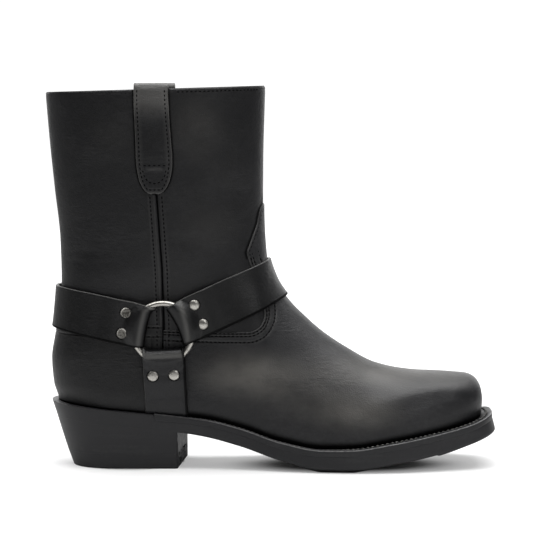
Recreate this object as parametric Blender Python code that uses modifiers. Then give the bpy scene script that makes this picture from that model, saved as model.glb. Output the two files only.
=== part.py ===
"""Harness boot, right foot, men's size 43: one boot standing empty on its sole.

Lengths are millimetres until a mesh is made. X runs from heel to toe, Z up, and the lateral side is at -Y.
"""

import math
from collections import namedtuple

import bmesh
import bpy
import numpy as np
from mathutils import Vector

MM = 0.001
GAP = 0.3
MERGE = 0.02
LATERAL = -1
MEDIAL = 1

# Sole length and stack
HEEL_X = -152.6
TOE_X = 154.7
HEEL_CAP = 37.0
HEEL_CAP_POWER = 2.2
TOE_CAP = 24.0
TOE_CAP_POWER = 3.2
WELT_THICKNESS = 4.2
WELT_START_X = -80.0
WELT_REACH = 9.6
WELT_PROUD = 0.4
TOE_FLARE = 2.3
SIDE_FLARE = 1.0
SEAT_SLANT = 3.4
TOP_FLARE_SHARE = 0.25
HEEL_FLARE = -0.9
TREAD_END_X = 116.0
TREAD_STEP = 0.7
FLAT_START_X = 36.0
FLAT_END_X = 57.0
HEEL_SIDE_X = -98.0
STATION_STEP = 0.4
CAP_STATIONS = 8
WAIST_STATIONS = 10
BALL_STATIONS = 6

# Heel
LIFT_HEIGHT = 10.5
BREAST_X = -64.0
BREAST_SKEW = 4.0
HEEL_FOOT_X = -138.4
HEEL_FOOT_WIDTH = 32.0
HEEL_FOOT_CAP = 33.0
HEEL_SIDE_SHARES = (0.5, 1.0)

# Upper
WALL = 2.2
FEATHER_GAP = 0.5
COLLAR_Z = 264.0
TUCK = 2.0
TUCK_HEIGHT = 14.0
TOE_ROUND = 26.0
TOE_POWER = 3.0
BACK_ROUND = 40.0
BACK_POWER = 2.2
LEG_POWER = 2.25
ANKLE_LOW = 88.0
ANKLE_HIGH = 165.0
TOE_TOP_X = 130.0
TOE_TOP_Z = 62.7
TOE_LOW_Z = 46.0
SHAFT_START_Z = 148.0
SHIN_START_Z = 78.0
SHIN_SLOPE = 8.0
FOOT_ROWS = 15
SHAFT_ROWS = 5
SIDE_COLUMNS = 18
TURN_WEIGHT = 11.0
FRONT_SAMPLES = 600
OVERLAY = 0.8
PIPING = 1.0
PIPING_WIDTH = 2.4

# Insole
INSOLE_THICKNESS = 3.0
INSOLE_CLEAR = 1.0

# Harness
RING_X = -73.6
RING_Z = 94.9
RING_RADIUS = 20.3
RING_LEAN = 0.96
WIRE_RADIUS = 2.1
RING_SEGMENTS = 26
WIRE_SEGMENTS = 8
RING_SAMPLES = 48
STRAP_THICKNESS = 2.0
STRAP_WIDTH = 29.0
FOLD_WIDTH = 19.0
STRAP_CLEAR = 2.2
STRAP_BRIDGE = 0.8
STRAP_SHIFT = -1.2
UNDER_STRAP_SHIFT = 0.6
FOLD_REACH = 10.7
UNDER_FOLD_REACH = 12.4
RETURN_END = 34.5
RIVET_ALONG = 29.7
RIVET_SPACING = 14.6
RIVET_RADIUS = 3.8
RIVET_HEIGHT = 1.7
RIVET_CLEAR = 0.5
RIVET_SEGMENTS = 10
RIVET_RINGS = 8
RIVET_TILT_SPAN = 4.0
FRONT_ANGLE = math.radians(24.4)
BACK_ANGLE = math.radians(170.0)
UNDER_ANGLE = math.radians(-88.0)

# Pull tabs
TAB_X = -79.6
TAB_WIDTH = 24.6
TAB_THICKNESS = 1.6
TAB_CLEAR = 0.5
TAB_TIP_Z = 191.7
TAB_INSIDE_Z = 226.0
TAB_INSIDE_CLEAR = 0.7
TAB_FIBRES = (-1, -0.5, 0, 0.5, 1)
TAB_TURN_STEPS = 6

# A row for each section of the sole and foot: half-widths of the sole edge each side of the boot's axis,
# height of the edge's top and underside, ledge from edge to upper, and how full the foot's arch is there
SoleRow = namedtuple("SoleRow", "x lateral medial top under ledge fullness")
SOLE = [
    SoleRow(-152.6, 36.0, 36.0, 44.2, 34.2, 3.6, 2.6),
    SoleRow(-115.0, 36.8, 36.2, 40.3, 29.8, 3.6, 2.6),
    SoleRow(-80.0, 36.8, 35.0, 36.7, 26.4, 3.8, 2.5),
    SoleRow(-47.0, 37.5, 31.5, 33.0, 22.3, 4.0, 2.3),
    SoleRow(-20.0, 41.0, 31.5, 27.0, 15.2, 4.4, 2.1),
    SoleRow(8.0, 47.0, 36.0, 18.9, 6.2, 5.2, 1.95),
    SoleRow(36.0, 52.4, 43.0, 13.2, 0.0, 6.0, 1.95),
    SoleRow(57.0, 54.5, 47.5, 13.2, 0.0, 6.4, 2.05),
    SoleRow(86.0, 53.0, 50.0, 17.4, 3.9, 6.6, 2.4),
    SoleRow(116.0, 45.5, 46.0, 24.0, 10.0, 6.8, 3.0),
    SoleRow(140.0, 37.5, 38.5, 30.6, 16.9, 7.2, 3.5),
    SoleRow(157.0, 33.0, 33.0, 36.9, 22.4, 7.4, 3.6),
]

# A row for each level of the back of the boot: where the back is, and half-width of the leg
LegRow = namedtuple("LegRow", "z back width")
LEG = [
    LegRow(36.0, -147.2, 36.0),
    LegRow(47.0, -148.6, 36.0),
    LegRow(58.0, -151.0, 36.2),
    LegRow(75.0, -152.6, 36.6),
    LegRow(92.0, -150.4, 37.0),
    LegRow(110.0, -147.8, 37.8),
    LegRow(131.0, -146.2, 38.5),
    LegRow(160.0, -147.0, 39.2),
    LegRow(193.0, -151.0, 40.2),
    LegRow(227.0, -154.7, 41.3),
    LegRow(264.0, -157.6, 42.0),
]

# A row for each turn of the front line, from the toe's feather edge up the vamp and shin to the collar
FrontRow = namedtuple("FrontRow", "x z")
FRONT = [
    FrontRow(146.4, 33.4),
    FrontRow(147.6, 46.0),
    FrontRow(146.9, 53.0),
    FrontRow(144.4, 58.8),
    FrontRow(138.5, 61.9),
    FrontRow(130.0, 62.7),
    FrontRow(117.0, 62.6),
    FrontRow(105.0, 62.4),
    FrontRow(91.0, 64.2),
    FrontRow(73.0, 69.6),
    FrontRow(53.0, 81.0),
    FrontRow(36.6, 92.0),
    FrontRow(24.0, 103.0),
    FrontRow(12.7, 114.6),
    FrontRow(2.5, 130.0),
    FrontRow(-3.4, 148.0),
    FrontRow(-5.4, 180.0),
    FrontRow(-5.6, 215.0),
    FrontRow(-4.2, 264.0),
]

# Side view of the vamp's upper edge, from the side seam to the tongue's peak
EdgeRow = namedtuple("EdgeRow", "x z")
VAMP_EDGE = [
    EdgeRow(-73.8, 94.4),
    EdgeRow(-32.0, 95.8),
    EdgeRow(-15.0, 95.8),
    EdgeRow(-7.5, 98.8),
    EdgeRow(-4.0, 107.0),
    EdgeRow(-8.0, 125.0),
    EdgeRow(-16.0, 143.0),
    EdgeRow(-16.4, 149.5),
    EdgeRow(-9.8, 159.0),
    EdgeRow(-5.9, 175.3),
    EdgeRow(-4.7, 183.4),
]
CUTTER_REACH = 175.0
VAMP_BASE_STATIONS = 22
HEEL_BASE_STATIONS = 10
VAMP_OUTSIDE = [EdgeRow(20.0, 186.0), EdgeRow(CUTTER_REACH, 120.0)]
COUNTER_EDGE = [EdgeRow(-74.2, 98.0), EdgeRow(-110.0, 99.0), EdgeRow(-CUTTER_REACH, 102.0)]
PIPING_LINE = [EdgeRow(-78.4, 190.0), EdgeRow(-75.0, 140.0), EdgeRow(-74.0, 101.0)]

# A row for each turn of a pull tab's outline, up from its tip: height above the tip, and half-width
TabRow = namedtuple("TabRow", "rise reach")
TAB_OUTLINE = [
    TabRow(0.0, 3.4),
    TabRow(1.4, 5.6),
    TabRow(5.0, 7.6),
    TabRow(21.0, TAB_WIDTH / 2),
    TabRow(46.3, TAB_WIDTH / 2),
]

# A row for each turn of a strap beyond its fold: distance from the ring's centre, and the layer it lies on
StrapRow = namedtuple("StrapRow", "along layer")
STRAP_RETURN = [StrapRow(RETURN_END, "single"), StrapRow(26.0, "single"), StrapRow(20.0, "single")]
STRAP_OUT = [
    StrapRow(20.0, "over"),
    StrapRow(22.2, "over"),
    StrapRow(25.7, "double"),
    StrapRow(36.5, "double"),
    StrapRow(42.0, "single"),
]
STRAP_ROUND = (0.28, 0.5, 0.68, 0.82, 0.92)
FOLD_STEPS = 5
STRAP_FIBRES = 4
SLOPE_REACH = 1.5
STRAP_SEARCH = np.linspace(40.0, 110.0, 1401)
FOLD_CREST = 4.0
UNDER_STRAP_STEPS = (0.5, 1.0)

Finish = namedtuple("Finish", "colour roughness metallic")
FINISHES = {
    "upper_leather": Finish((0.022, 0.022, 0.024), 0.48, 0.0),
    "strap_leather": Finish((0.018, 0.018, 0.020), 0.45, 0.0),
    "sole_rubber": Finish((0.024, 0.024, 0.026), 0.62, 0.0),
    "insole_board": Finish((0.20, 0.20, 0.18), 0.85, 0.0),
    "nickel": Finish((0.56, 0.54, 0.50), 0.30, 1.0),
}


def column(rows, name):
    return np.array([getattr(row, name) for row in rows], float)


def smooth(at, knots, values):
    """A curve through the rows of a table that never overshoots them."""
    at = np.clip(np.asarray(at, float), knots[0], knots[-1])
    step = np.diff(knots)
    slope = np.diff(values) / step
    both = slope[:-1] * slope[1:]
    inner = np.where(both > 0, 2 * both / np.where(both > 0, slope[:-1] + slope[1:], 1.0), 0.0)
    tangent = np.concatenate([slope[:1], inner, slope[-1:]])
    index = np.clip(np.searchsorted(knots, at, side="right") - 1, 0, len(step) - 1)
    width = step[index]
    t = (at - knots[index]) / width
    start = (1 + 2 * t) * (1 - t) ** 2 * values[index] + t * (1 - t) ** 2 * width * tangent[index]
    end = t * t * (3 - 2 * t) * values[index + 1] - t * t * (1 - t) * width * tangent[index + 1]
    return start + end


def sole(x, name):
    return smooth(x, column(SOLE, "x"), column(SOLE, name))


def sole_width(x, side):
    return sole(x, "lateral") if side == LATERAL else sole(x, "medial")


def feather(x):
    return sole(x, "top") + FEATHER_GAP


def leg(z, name):
    return smooth(z, column(LEG, "z"), column(LEG, name))


def rounded(t, power):
    return (1 - np.clip(t, 0, 1) ** power) ** (1 / power)


def front_line(count):
    """The front line from toe to collar, closely sampled, with the length along it."""
    x = column(FRONT, "x")
    z = column(FRONT, "z")
    chord = np.concatenate([[0], np.cumsum(np.hypot(np.diff(x), np.diff(z)))])
    along = np.linspace(0, chord[-1], count)
    return smooth(along, chord, x), smooth(along, chord, z), along


FRONT_X, FRONT_Z, FRONT_ALONG = front_line(FRONT_SAMPLES)
TOE_PART = (FRONT_X >= TOE_TOP_X) & (FRONT_Z < TOE_TOP_Z)
VAMP_PART = (FRONT_X <= TOE_TOP_X) & (FRONT_Z <= SHAFT_START_Z) & (FRONT_Z > TOE_LOW_Z)
LEG_PART = FRONT_Z > SHIN_START_Z


def toe_front(z):
    return np.interp(z, FRONT_Z[TOE_PART], FRONT_X[TOE_PART])


def instep(x):
    vamp_x = FRONT_X[VAMP_PART][::-1]
    vamp_z = FRONT_Z[VAMP_PART][::-1]
    behind = vamp_z[0] + SHIN_SLOPE * np.maximum(vamp_x[0] - x, 0)
    return np.where(x < vamp_x[0], behind, np.interp(x, vamp_x, vamp_z))


def leg_front(z):
    return np.interp(z, FRONT_Z[LEG_PART], FRONT_X[LEG_PART])


def half_width(x, z, side):
    """Half-width of the upper's outer face at a point of the side view."""
    x = np.asarray(x, float)
    z = np.asarray(z, float)
    low = feather(x)
    rise = np.clip((z - low) / (instep(x) - low), 0, 1)
    tuck = TUCK * np.clip(1 - (z - low) / TUCK_HEIGHT, 0, 1) ** 2
    foot = (sole_width(x, side) - sole(x, "ledge") - tuck) * (1 - rise ** sole(x, "fullness")) ** 0.5
    foot = foot * rounded((x - toe_front(z)) / TOE_ROUND + 1, TOE_POWER)
    foot = foot * rounded((leg(z, "back") - x) / BACK_ROUND + 1, BACK_POWER)
    middle = (leg(z, "back") + leg_front(z)) / 2
    reach = leg_front(z) - middle
    shaft = leg(z, "width") * rounded(np.abs(x - middle) / reach, LEG_POWER)
    share = np.clip((z - ANKLE_LOW) / (ANKLE_HIGH - ANKLE_LOW), 0, 1)
    share = share * share * (3 - 2 * share)
    return foot + (shaft - foot) * share


def row_ends():
    """Front and back points of the upper's rows, from the feather edge to the collar, closer where it turns."""
    turn = np.abs(np.diff(np.unwrap(np.arctan2(np.diff(FRONT_Z), np.diff(FRONT_X)))))
    weight = FRONT_ALONG + TURN_WEIGHT * np.concatenate([[0, 0], np.cumsum(turn)])
    ankle = np.argmax(FRONT_Z >= SHAFT_START_Z)
    rows = np.concatenate(
        [
            np.linspace(0, weight[ankle], FOOT_ROWS + 1)[:-1],
            np.linspace(weight[ankle], weight[-1], SHAFT_ROWS + 1),
        ]
    )
    front_x = np.interp(rows, weight, FRONT_X)
    front_z = np.interp(rows, weight, FRONT_Z)
    back_low = feather(leg(feather(HEEL_X), "back"))
    foot_share = np.clip(rows / weight[ankle], 0, 1)
    back_z = np.where(rows < weight[ankle], back_low + (SHAFT_START_Z - back_low) * foot_share, front_z)
    return front_x, front_z, leg(back_z, "back"), back_z


def upper_surface():
    """Rings of points round the upper's outer face: back, lateral side, front, medial side."""
    front_x, front_z, back_x, back_z = row_ends()
    u = (1 - np.cos(np.pi * np.arange(SIDE_COLUMNS + 1) / SIDE_COLUMNS)) / 2
    base_x = back_x[0] + u * (front_x[0] - back_x[0])
    dip = feather(base_x) - (feather(base_x[0]) + u * (feather(base_x[-1]) - feather(base_x[0])))
    rings = []
    for row in range(len(front_x)):
        x = back_x[row] + u * (front_x[row] - back_x[row])
        lift = (back_z[row] - back_z[0]) / (COLLAR_Z - back_z[0])
        z = back_z[row] + u * (front_z[row] - back_z[row]) + dip * (1 - lift)
        if row == 0:
            z = feather(x)
        lateral = -half_width(x, z, LATERAL)
        medial = half_width(x, z, MEDIAL)
        lateral[[0, -1]] = 0
        ring = [(x[i], lateral[i], z[i]) for i in range(SIDE_COLUMNS + 1)]
        ring += [(x[i], medial[i], z[i]) for i in range(SIDE_COLUMNS - 1, 0, -1)]
        rings.append(ring)
    return rings


def ring_faces(rows, columns):
    """Quads between closed rings of points."""
    faces = []
    for row in range(rows - 1):
        for i in range(columns):
            j = (i + 1) % columns
            faces.append((row * columns + i, row * columns + j, (row + 1) * columns + j, (row + 1) * columns + i))
    return faces


def sheet_faces(rows, columns):
    """Quads of an open sheet of points."""
    faces = []
    for row in range(rows - 1):
        for i in range(columns - 1):
            a = row * columns + i
            faces.append((a, a + 1, a + columns + 1, a + columns))
    return faces


def finish(name):
    material = bpy.data.materials.get(name)
    if material is None:
        material = bpy.data.materials.new(name)
        material.use_nodes = True
        look = FINISHES[name]
        shader = material.node_tree.nodes["Principled BSDF"]
        shader.inputs["Base Color"].default_value = (*look.colour, 1.0)
        shader.inputs["Roughness"].default_value = look.roughness
        shader.inputs["Metallic"].default_value = look.metallic
        material.diffuse_color = (*look.colour, 1.0)
    return material


def new_collection(name):
    collection = bpy.data.collections.new(name)
    bpy.context.scene.collection.children.link(collection)
    return collection


def add_mesh(name, points, faces, look, collection, closed=True):
    """A mesh object from points in millimetres, with its doubled points merged."""
    mesh = bpy.data.meshes.new(name)
    mesh.from_pydata([Vector(p) * MM for p in points], [], faces)
    shaped = bmesh.new()
    shaped.from_mesh(mesh)
    bmesh.ops.remove_doubles(shaped, verts=shaped.verts, dist=MERGE * MM)
    bmesh.ops.dissolve_degenerate(shaped, edges=shaped.edges, dist=MERGE / 2 * MM)
    if closed:
        bmesh.ops.recalc_face_normals(shaped, faces=shaped.faces)
    shaped.to_mesh(mesh)
    shaped.free()
    part = bpy.data.objects.new(name, mesh)
    collection.objects.link(part)
    if look:
        mesh.materials.append(finish(look))
    return part


def add_solidify(part, thickness, side):
    """Thickness for an open sheet: side 1 outwards, -1 inwards, 0 both ways."""
    wall = part.modifiers.new("Wall", "SOLIDIFY")
    wall.thickness = thickness * MM
    wall.offset = side
    wall.use_rim = True
    wall.use_even_offset = False


def plan(heel, toe, side_grow):
    """The sole's outline at stations from heel to toe, grown at heel, toe and sides: x, lateral y, medial y."""
    back = HEEL_X - heel
    front = TOE_X + toe
    quarter = np.linspace(0, np.pi / 2, CAP_STATIONS)
    heel_x = back + HEEL_CAP * (1 - np.cos(quarter) ** (2 / HEEL_CAP_POWER))
    heel_k = np.sin(quarter) ** (2 / HEEL_CAP_POWER)
    toe_x = front - TOE_CAP * (1 - np.sin(quarter) ** (2 / TOE_CAP_POWER))
    toe_k = np.cos(quarter) ** (2 / TOE_CAP_POWER)
    marks = [HEEL_SIDE_X, WELT_START_X - STATION_STEP, WELT_START_X, BREAST_X]
    marks += list(np.linspace(BREAST_X, FLAT_START_X, WAIST_STATIONS)[1:])
    marks += list(np.linspace(FLAT_END_X, TREAD_END_X - STATION_STEP, BALL_STATIONS))
    marks += [TREAD_END_X + STATION_STEP]
    x = np.concatenate([heel_x, marks, toe_x])
    k = np.concatenate([heel_k, np.ones(len(marks)), toe_k])
    grow = side_grow(x)
    return x, -(sole_width(x, LATERAL) + grow) * k, (sole_width(x, MEDIAL) + grow) * k


def slab(name, top, under, look, collection):
    """A closed layer between a top and an under outline, each a list of lateral and medial points by station."""
    count = len(top)
    points = [p for pair in top for p in pair] + [p for pair in under for p in pair]
    faces = []
    for i in range(count - 1):
        a = 2 * i
        b = 2 * count + a
        faces.append((a, a + 1, a + 3, a + 2))
        faces.append((b, b + 2, b + 3, b + 1))
        faces.append((a, a + 2, b + 2, b))
        faces.append((a + 1, b + 1, b + 3, a + 3))
    last = 2 * count - 2
    faces.append((0, 2 * count, 2 * count + 1, 1))
    faces.append((last, last + 1, last + 1 + 2 * count, last + 2 * count))
    return add_mesh(name, points, faces, look, collection)


def stations(outline, height):
    x, lateral, medial = outline
    z = height(x)
    return [((x[i], lateral[i], z[i]), (x[i], medial[i], z[i])) for i in range(len(x))]


def outsole_top(x):
    return sole(x, "top") - np.where(x < WELT_START_X - STATION_STEP / 2, 0, WELT_THICKNESS + GAP)


def outsole_under(x):
    return sole(x, "under") + np.where(x > TREAD_END_X, TREAD_STEP, 0)


def edge_flare(x):
    """How far the sole's edge spreads from its top to its underside: in at the heel, out at the forefoot."""
    return np.interp(x, [HEEL_X, BREAST_X, 0.0], [HEEL_FLARE, HEEL_FLARE, SIDE_FLARE])


def add_outsole(collection):
    outline = plan(0, TOP_FLARE_SHARE * TOE_FLARE, lambda x: TOP_FLARE_SHARE * edge_flare(x))
    top = stations(outline, outsole_top)
    under = stations(plan(-SEAT_SLANT, TOE_FLARE, edge_flare), outsole_under)
    return slab("outsole", top, under, "sole_rubber", collection)


def add_welt(collection):
    """A flat strip on the outsole's edge, from the heel's breast round the toe to the other breast."""
    loops = []
    for depth, reach in ((0, 0), (0, WELT_REACH), (WELT_THICKNESS, WELT_REACH), (WELT_THICKNESS, 0)):
        x, lateral, medial = plan(-reach, -reach, lambda at: WELT_PROUD - reach + 0 * at)
        z = sole(x, "top") - depth
        keep = np.nonzero(x >= WELT_START_X - STATION_STEP / 2)[0]
        path = [(x[i], lateral[i], z[i]) for i in keep]
        path += [(x[i], medial[i], z[i]) for i in keep[::-1][1:]]
        loops.append(path)
    count = len(loops[0])
    points = [p for path in loops for p in path]
    faces = []
    for i in range(count - 1):
        for a in range(4):
            b = (a + 1) % 4
            faces.append((a * count + i, a * count + i + 1, b * count + i + 1, b * count + i))
    faces.append(tuple(a * count for a in range(4)))
    faces.append(tuple(a * count + count - 1 for a in range(4)))
    return add_mesh("welt", points, faces, "sole_rubber", collection)


def heel_outline(share):
    """The heel's outline from its seat, share 0, to the floor, share 1: lateral and medial points by station."""
    quarter = np.linspace(0, np.pi / 2, CAP_STATIONS)
    seat_x = HEEL_X + SEAT_SLANT
    back = seat_x + share * (HEEL_FOOT_X - seat_x)
    cap = HEEL_CAP + share * (HEEL_FOOT_CAP - HEEL_CAP)
    x = back + cap * (1 - np.cos(quarter) ** (2 / HEEL_CAP_POWER))
    k = np.sin(quarter) ** (2 / HEEL_CAP_POWER)
    ahead = np.array(HEEL_SIDE_SHARES)
    pairs = []
    for side in (LATERAL, MEDIAL):
        breast = BREAST_X + (BREAST_SKEW if side == MEDIAL else 0)
        at = np.concatenate([x, x[-1] + ahead * (breast - x[-1])])
        seat_width = sole_width(at, side) + edge_flare(at)
        width = seat_width + share * (HEEL_FOOT_WIDTH - seat_width)
        pairs.append((at, side * width * np.concatenate([k, np.ones(len(ahead))])))
    return pairs


def heel_level(share, height):
    (lateral_x, lateral_y), (medial_x, medial_y) = heel_outline(share)
    count = len(lateral_x)
    lateral_z = height(lateral_x) + np.zeros(count)
    medial_z = height(medial_x) + np.zeros(count)
    lateral = list(zip(lateral_x, lateral_y, lateral_z))
    medial = list(zip(medial_x, medial_y, medial_z))
    return list(zip(lateral, medial))


def add_heel(collection):
    def seat(x):
        return sole(x, "under") - GAP

    middle = 1 - LIFT_HEIGHT / sole(HEEL_SIDE_X, "under")
    block_top = heel_level(0, seat)
    block_under = heel_level(middle, lambda x: LIFT_HEIGHT + GAP / 2)
    lift_top = heel_level(middle, lambda x: LIFT_HEIGHT - GAP / 2)
    lift_under = heel_level(1, lambda x: 0.0)
    block = slab("heel_block", block_top, block_under, "sole_rubber", collection)
    lift = slab("heel_lift", lift_top, lift_under, "sole_rubber", collection)
    return [block, lift]


def add_insole(collection):
    """The board inside, clear of the upper's wall and of the welt."""
    inset = TUCK + WALL + INSOLE_CLEAR

    def shrink(x):
        return -np.maximum(sole(x, "ledge") + inset, WELT_REACH + INSOLE_CLEAR)

    outline = plan(-inset - sole(HEEL_X, "ledge"), -inset - sole(TOE_X, "ledge"), shrink)
    top = stations(outline, lambda x: sole(x, "top") + INSOLE_THICKNESS)
    under = stations(outline, lambda x: outsole_top(x) + GAP)
    return slab("insole", top, under, "insole_board", collection)


def add_skin(name, lift, look, collection):
    """The upper's outer face as an open sheet, lifted off the leather by a distance."""
    rings = upper_surface()
    columns = len(rings[0])
    points = [p for ring in rings for p in ring]
    skin = add_mesh(name, points, ring_faces(len(rings), columns), look, collection, closed=False)
    facets = bmesh.new()
    facets.from_mesh(skin.data)
    bmesh.ops.triangulate(facets, faces=facets.faces, quad_method="SHORT_EDGE")
    facets.to_mesh(skin.data)
    facets.free()
    normals = [vertex.normal.copy() for vertex in skin.data.vertices]
    for vertex, normal in zip(skin.data.vertices, normals):
        vertex.co += normal * lift * MM
    return skin


def add_upper(collection):
    upper = add_skin("upper", 0, "upper_leather", collection)
    add_solidify(upper, WALL, -1)
    return upper


def add_cutter(name, outline, side, cutters):
    """A side-view outline made a prism across the boot, or across one half of it."""
    low = -CUTTER_REACH if side != MEDIAL else 0.0
    high = CUTTER_REACH if side != LATERAL else 0.0
    count = len(outline)
    points = [(x, low, z) for x, z in outline] + [(x, high, z) for x, z in outline]
    faces = [tuple(range(count)), tuple(range(2 * count - 1, count - 1, -1))]
    for i in range(count):
        j = (i + 1) % count
        faces.append((i, count + i, count + j, j))
    cutter = add_mesh(name, points, faces, None, cutters)
    cutter.hide_render = True
    cutter.display_type = "WIRE"
    return cutter


def add_overlay(name, thickness, outline, side, collection, cutters):
    """A panel of the upper's own face, cut to a side-view outline."""
    panel = add_skin(name, GAP, "upper_leather", collection)
    add_solidify(panel, thickness, 1)
    cut = panel.modifiers.new("Outline", "BOOLEAN")
    cut.operation = "INTERSECT"
    cut.solver = "EXACT"
    cut.object = add_cutter(name + "_outline", outline, side, cutters)
    return panel


def add_panels(collection, cutters):
    """Vamp and counter, laid over the shaft's lower edge and closed at the welt."""
    vamp_base = np.linspace(VAMP_EDGE[0].x, CUTTER_REACH, VAMP_BASE_STATIONS)
    vamp = [tuple(row) for row in VAMP_EDGE + VAMP_OUTSIDE]
    vamp += [(x, float(feather(x)) + GAP) for x in vamp_base[::-1]]
    heel_base = np.linspace(-CUTTER_REACH, COUNTER_EDGE[0].x, HEEL_BASE_STATIONS)
    counter = [tuple(row) for row in COUNTER_EDGE] + [(x, float(feather(x)) + GAP) for x in heel_base]
    return [
        add_overlay("vamp", OVERLAY, vamp, 0, collection, cutters),
        add_overlay("counter", OVERLAY, counter, 0, collection, cutters),
    ]


def add_piping(collection, cutters):
    half = PIPING_WIDTH / 2
    outline = [(row.x - half, row.z) for row in PIPING_LINE] + [(row.x + half, row.z) for row in PIPING_LINE[::-1]]
    lateral = add_overlay("seam_lateral", PIPING, outline, LATERAL, collection, cutters)
    medial = add_overlay("seam_medial", PIPING, outline, MEDIAL, collection, cutters)
    return [lateral, medial]


def ring_plane(side):
    """The ring's plane: its centre, outward normal, and the half-width of the plane as a function of x and z."""
    span = RING_RADIUS
    slope_x = (half_width(RING_X + span, RING_Z, side) - half_width(RING_X - span, RING_Z, side)) / (2 * span)
    slope_z = (half_width(RING_X, RING_Z + span, side) - half_width(RING_X, RING_Z - span, side)) / (2 * span)
    angle = np.linspace(0, 2 * np.pi, RING_SAMPLES)
    x = RING_X + RING_RADIUS * np.cos(angle)
    z = RING_Z + RING_RADIUS * np.sin(angle)
    over = half_width(x, z, side) - slope_x * (x - RING_X) - slope_z * (z - RING_Z)
    height = over.max() + STRAP_CLEAR + STRAP_THICKNESS + GAP + WIRE_RADIUS + GAP

    def plane(at_x, at_z):
        return height + slope_x * (at_x - RING_X) + slope_z * (at_z - RING_Z)

    normal = Vector((-slope_x, side, -slope_z)).normalized()
    return Vector((RING_X, side * height, RING_Z)), normal, plane


def add_ring(name, side, collection):
    centre, normal, _ = ring_plane(side)
    bpy.ops.mesh.primitive_torus_add(
        major_segments=RING_SEGMENTS,
        minor_segments=WIRE_SEGMENTS,
        major_radius=RING_RADIUS * MM,
        minor_radius=WIRE_RADIUS * MM,
        location=centre * MM,
        rotation=normal.to_track_quat("Z", "Y").to_euler(),
    )
    ring = bpy.context.active_object
    ring.name = name
    ring.data.materials.append(finish("nickel"))
    for owner in list(ring.users_collection):
        owner.objects.unlink(ring)
    collection.objects.link(ring)
    return ring


def strap_layers(x, z, side, layer):
    """How far the middle of a strap lies from the upper: on it, on its own return, or over the ring."""
    single = STRAP_CLEAR + STRAP_THICKNESS / 2
    if layer == "single":
        return single
    if layer == "double":
        return single + STRAP_THICKNESS + GAP
    over = ring_plane(side)[2](x, z) - half_width(x, z, side)
    return over + WIRE_RADIUS + 2 * GAP + STRAP_THICKNESS / 2


def strap_heading(angle):
    """The strap's direction in the side view, and the direction across it."""
    heading = np.array([math.cos(angle), math.sin(angle)])
    sideways = np.array([heading[1], -heading[0]])
    return heading, sideways if heading[0] >= 0 else -sideways


def strap_place(angle, across, along):
    heading, sideways = strap_heading(angle)
    return np.array([RING_X, RING_Z]) + across * sideways + along * heading


def strap_point(angle, across, along, lift, side):
    """A point of a strap: along and across it in the side view, and lifted off the upper in its own plane."""
    x, z = strap_place(angle, across, along)
    before = strap_place(angle, across, along - SLOPE_REACH)
    after = strap_place(angle, across, along + SLOPE_REACH)
    width = float(half_width(x, z, side))
    rise = half_width(after[0], after[1], side) - half_width(before[0], before[1], side)
    slope = rise / (2 * SLOPE_REACH)
    scale = 1 / math.sqrt(1 + slope * slope)
    shift = -slope * scale * lift * strap_heading(angle)[0]
    return (x + shift[0], side * (width + scale * lift), z + shift[1])


def strap_across(angle, share, along):
    """Distance of a fibre from the ring's centre line: the strap narrows into its fold."""
    half = np.interp(along, [FOLD_REACH, RING_RADIUS], [FOLD_WIDTH / 2, STRAP_WIDTH / 2])
    return strap_shift(angle) + share * float(half)


def fold_path(angle, share, side, reach):
    """A strap fibre's return, fold and outer layer near the ring: distances along and across, lift off the upper."""
    inner = RING_RADIUS * RING_LEAN - WIRE_RADIUS
    across = strap_across(angle, share, reach)
    room = math.sqrt(inner * inner - across * across) - STRAP_THICKNESS - 3 * GAP
    edge = min(reach, room)
    low = strap_layers(0, 0, side, "single")
    path = [(row.along, strap_across(angle, share, row.along), low) for row in STRAP_RETURN]
    x, z = strap_place(angle, across, edge + FOLD_CREST)
    high = float(strap_layers(x, z, side, "over"))
    radius = (high - low) / 2
    turn = edge + STRAP_THICKNESS / 2 + radius
    for step in range(FOLD_STEPS + 1):
        around = math.pi * step / FOLD_STEPS
        along = turn - radius * math.sin(around)
        path.append((along, strap_across(angle, share, along), low + radius * (1 - math.cos(around))))
    for row in STRAP_OUT:
        across = strap_across(angle, share, row.along)
        x, z = strap_place(angle, across, row.along)
        path.append((row.along, across, float(strap_layers(x, z, side, row.layer))))
    return path


def strap_end(angle, across):
    """Distance from the ring's centre at which a strap fibre meets the boot's centre line."""
    places = np.array([strap_place(angle, across, along) for along in STRAP_SEARCH])
    bare = half_width(places[:, 0], places[:, 1], LATERAL) <= 0
    return STRAP_SEARCH[np.argmax(bare)]


def strap_shift(angle):
    """How far a strap's middle passes from the ring's centre: the long straps a little above it."""
    return UNDER_STRAP_SHIFT if angle == UNDER_ANGLE else STRAP_SHIFT


def strap_shares():
    return [2 * i / (STRAP_FIBRES - 1) - 1 for i in range(STRAP_FIBRES)]


def add_long_strap(name, angle, collection):
    """A strap from the lateral ring round the boot's centre line to the medial ring, folded round both."""
    fibres = []
    lift = strap_layers(0, 0, LATERAL, "single")
    start = STRAP_OUT[-1].along
    for share in strap_shares():
        across = strap_across(angle, share, start)
        last = strap_end(angle, across)
        rest = []
        for gone in STRAP_ROUND:
            along = start + (last - start) * math.sin(math.pi / 2 * gone)
            rest.append((along, across, lift + STRAP_BRIDGE * gone))
        sides = []
        for side in (LATERAL, MEDIAL):
            path = fold_path(angle, share, side, FOLD_REACH) + rest
            sides.append([strap_point(angle, a, along, height, side) for along, a, height in path])
        x, z = strap_place(angle, across, last + lift + STRAP_BRIDGE)
        fibres.append(sides[0] + [(x, 0.0, z)] + sides[1][::-1])
    return strap_from(name, fibres, collection)


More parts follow.
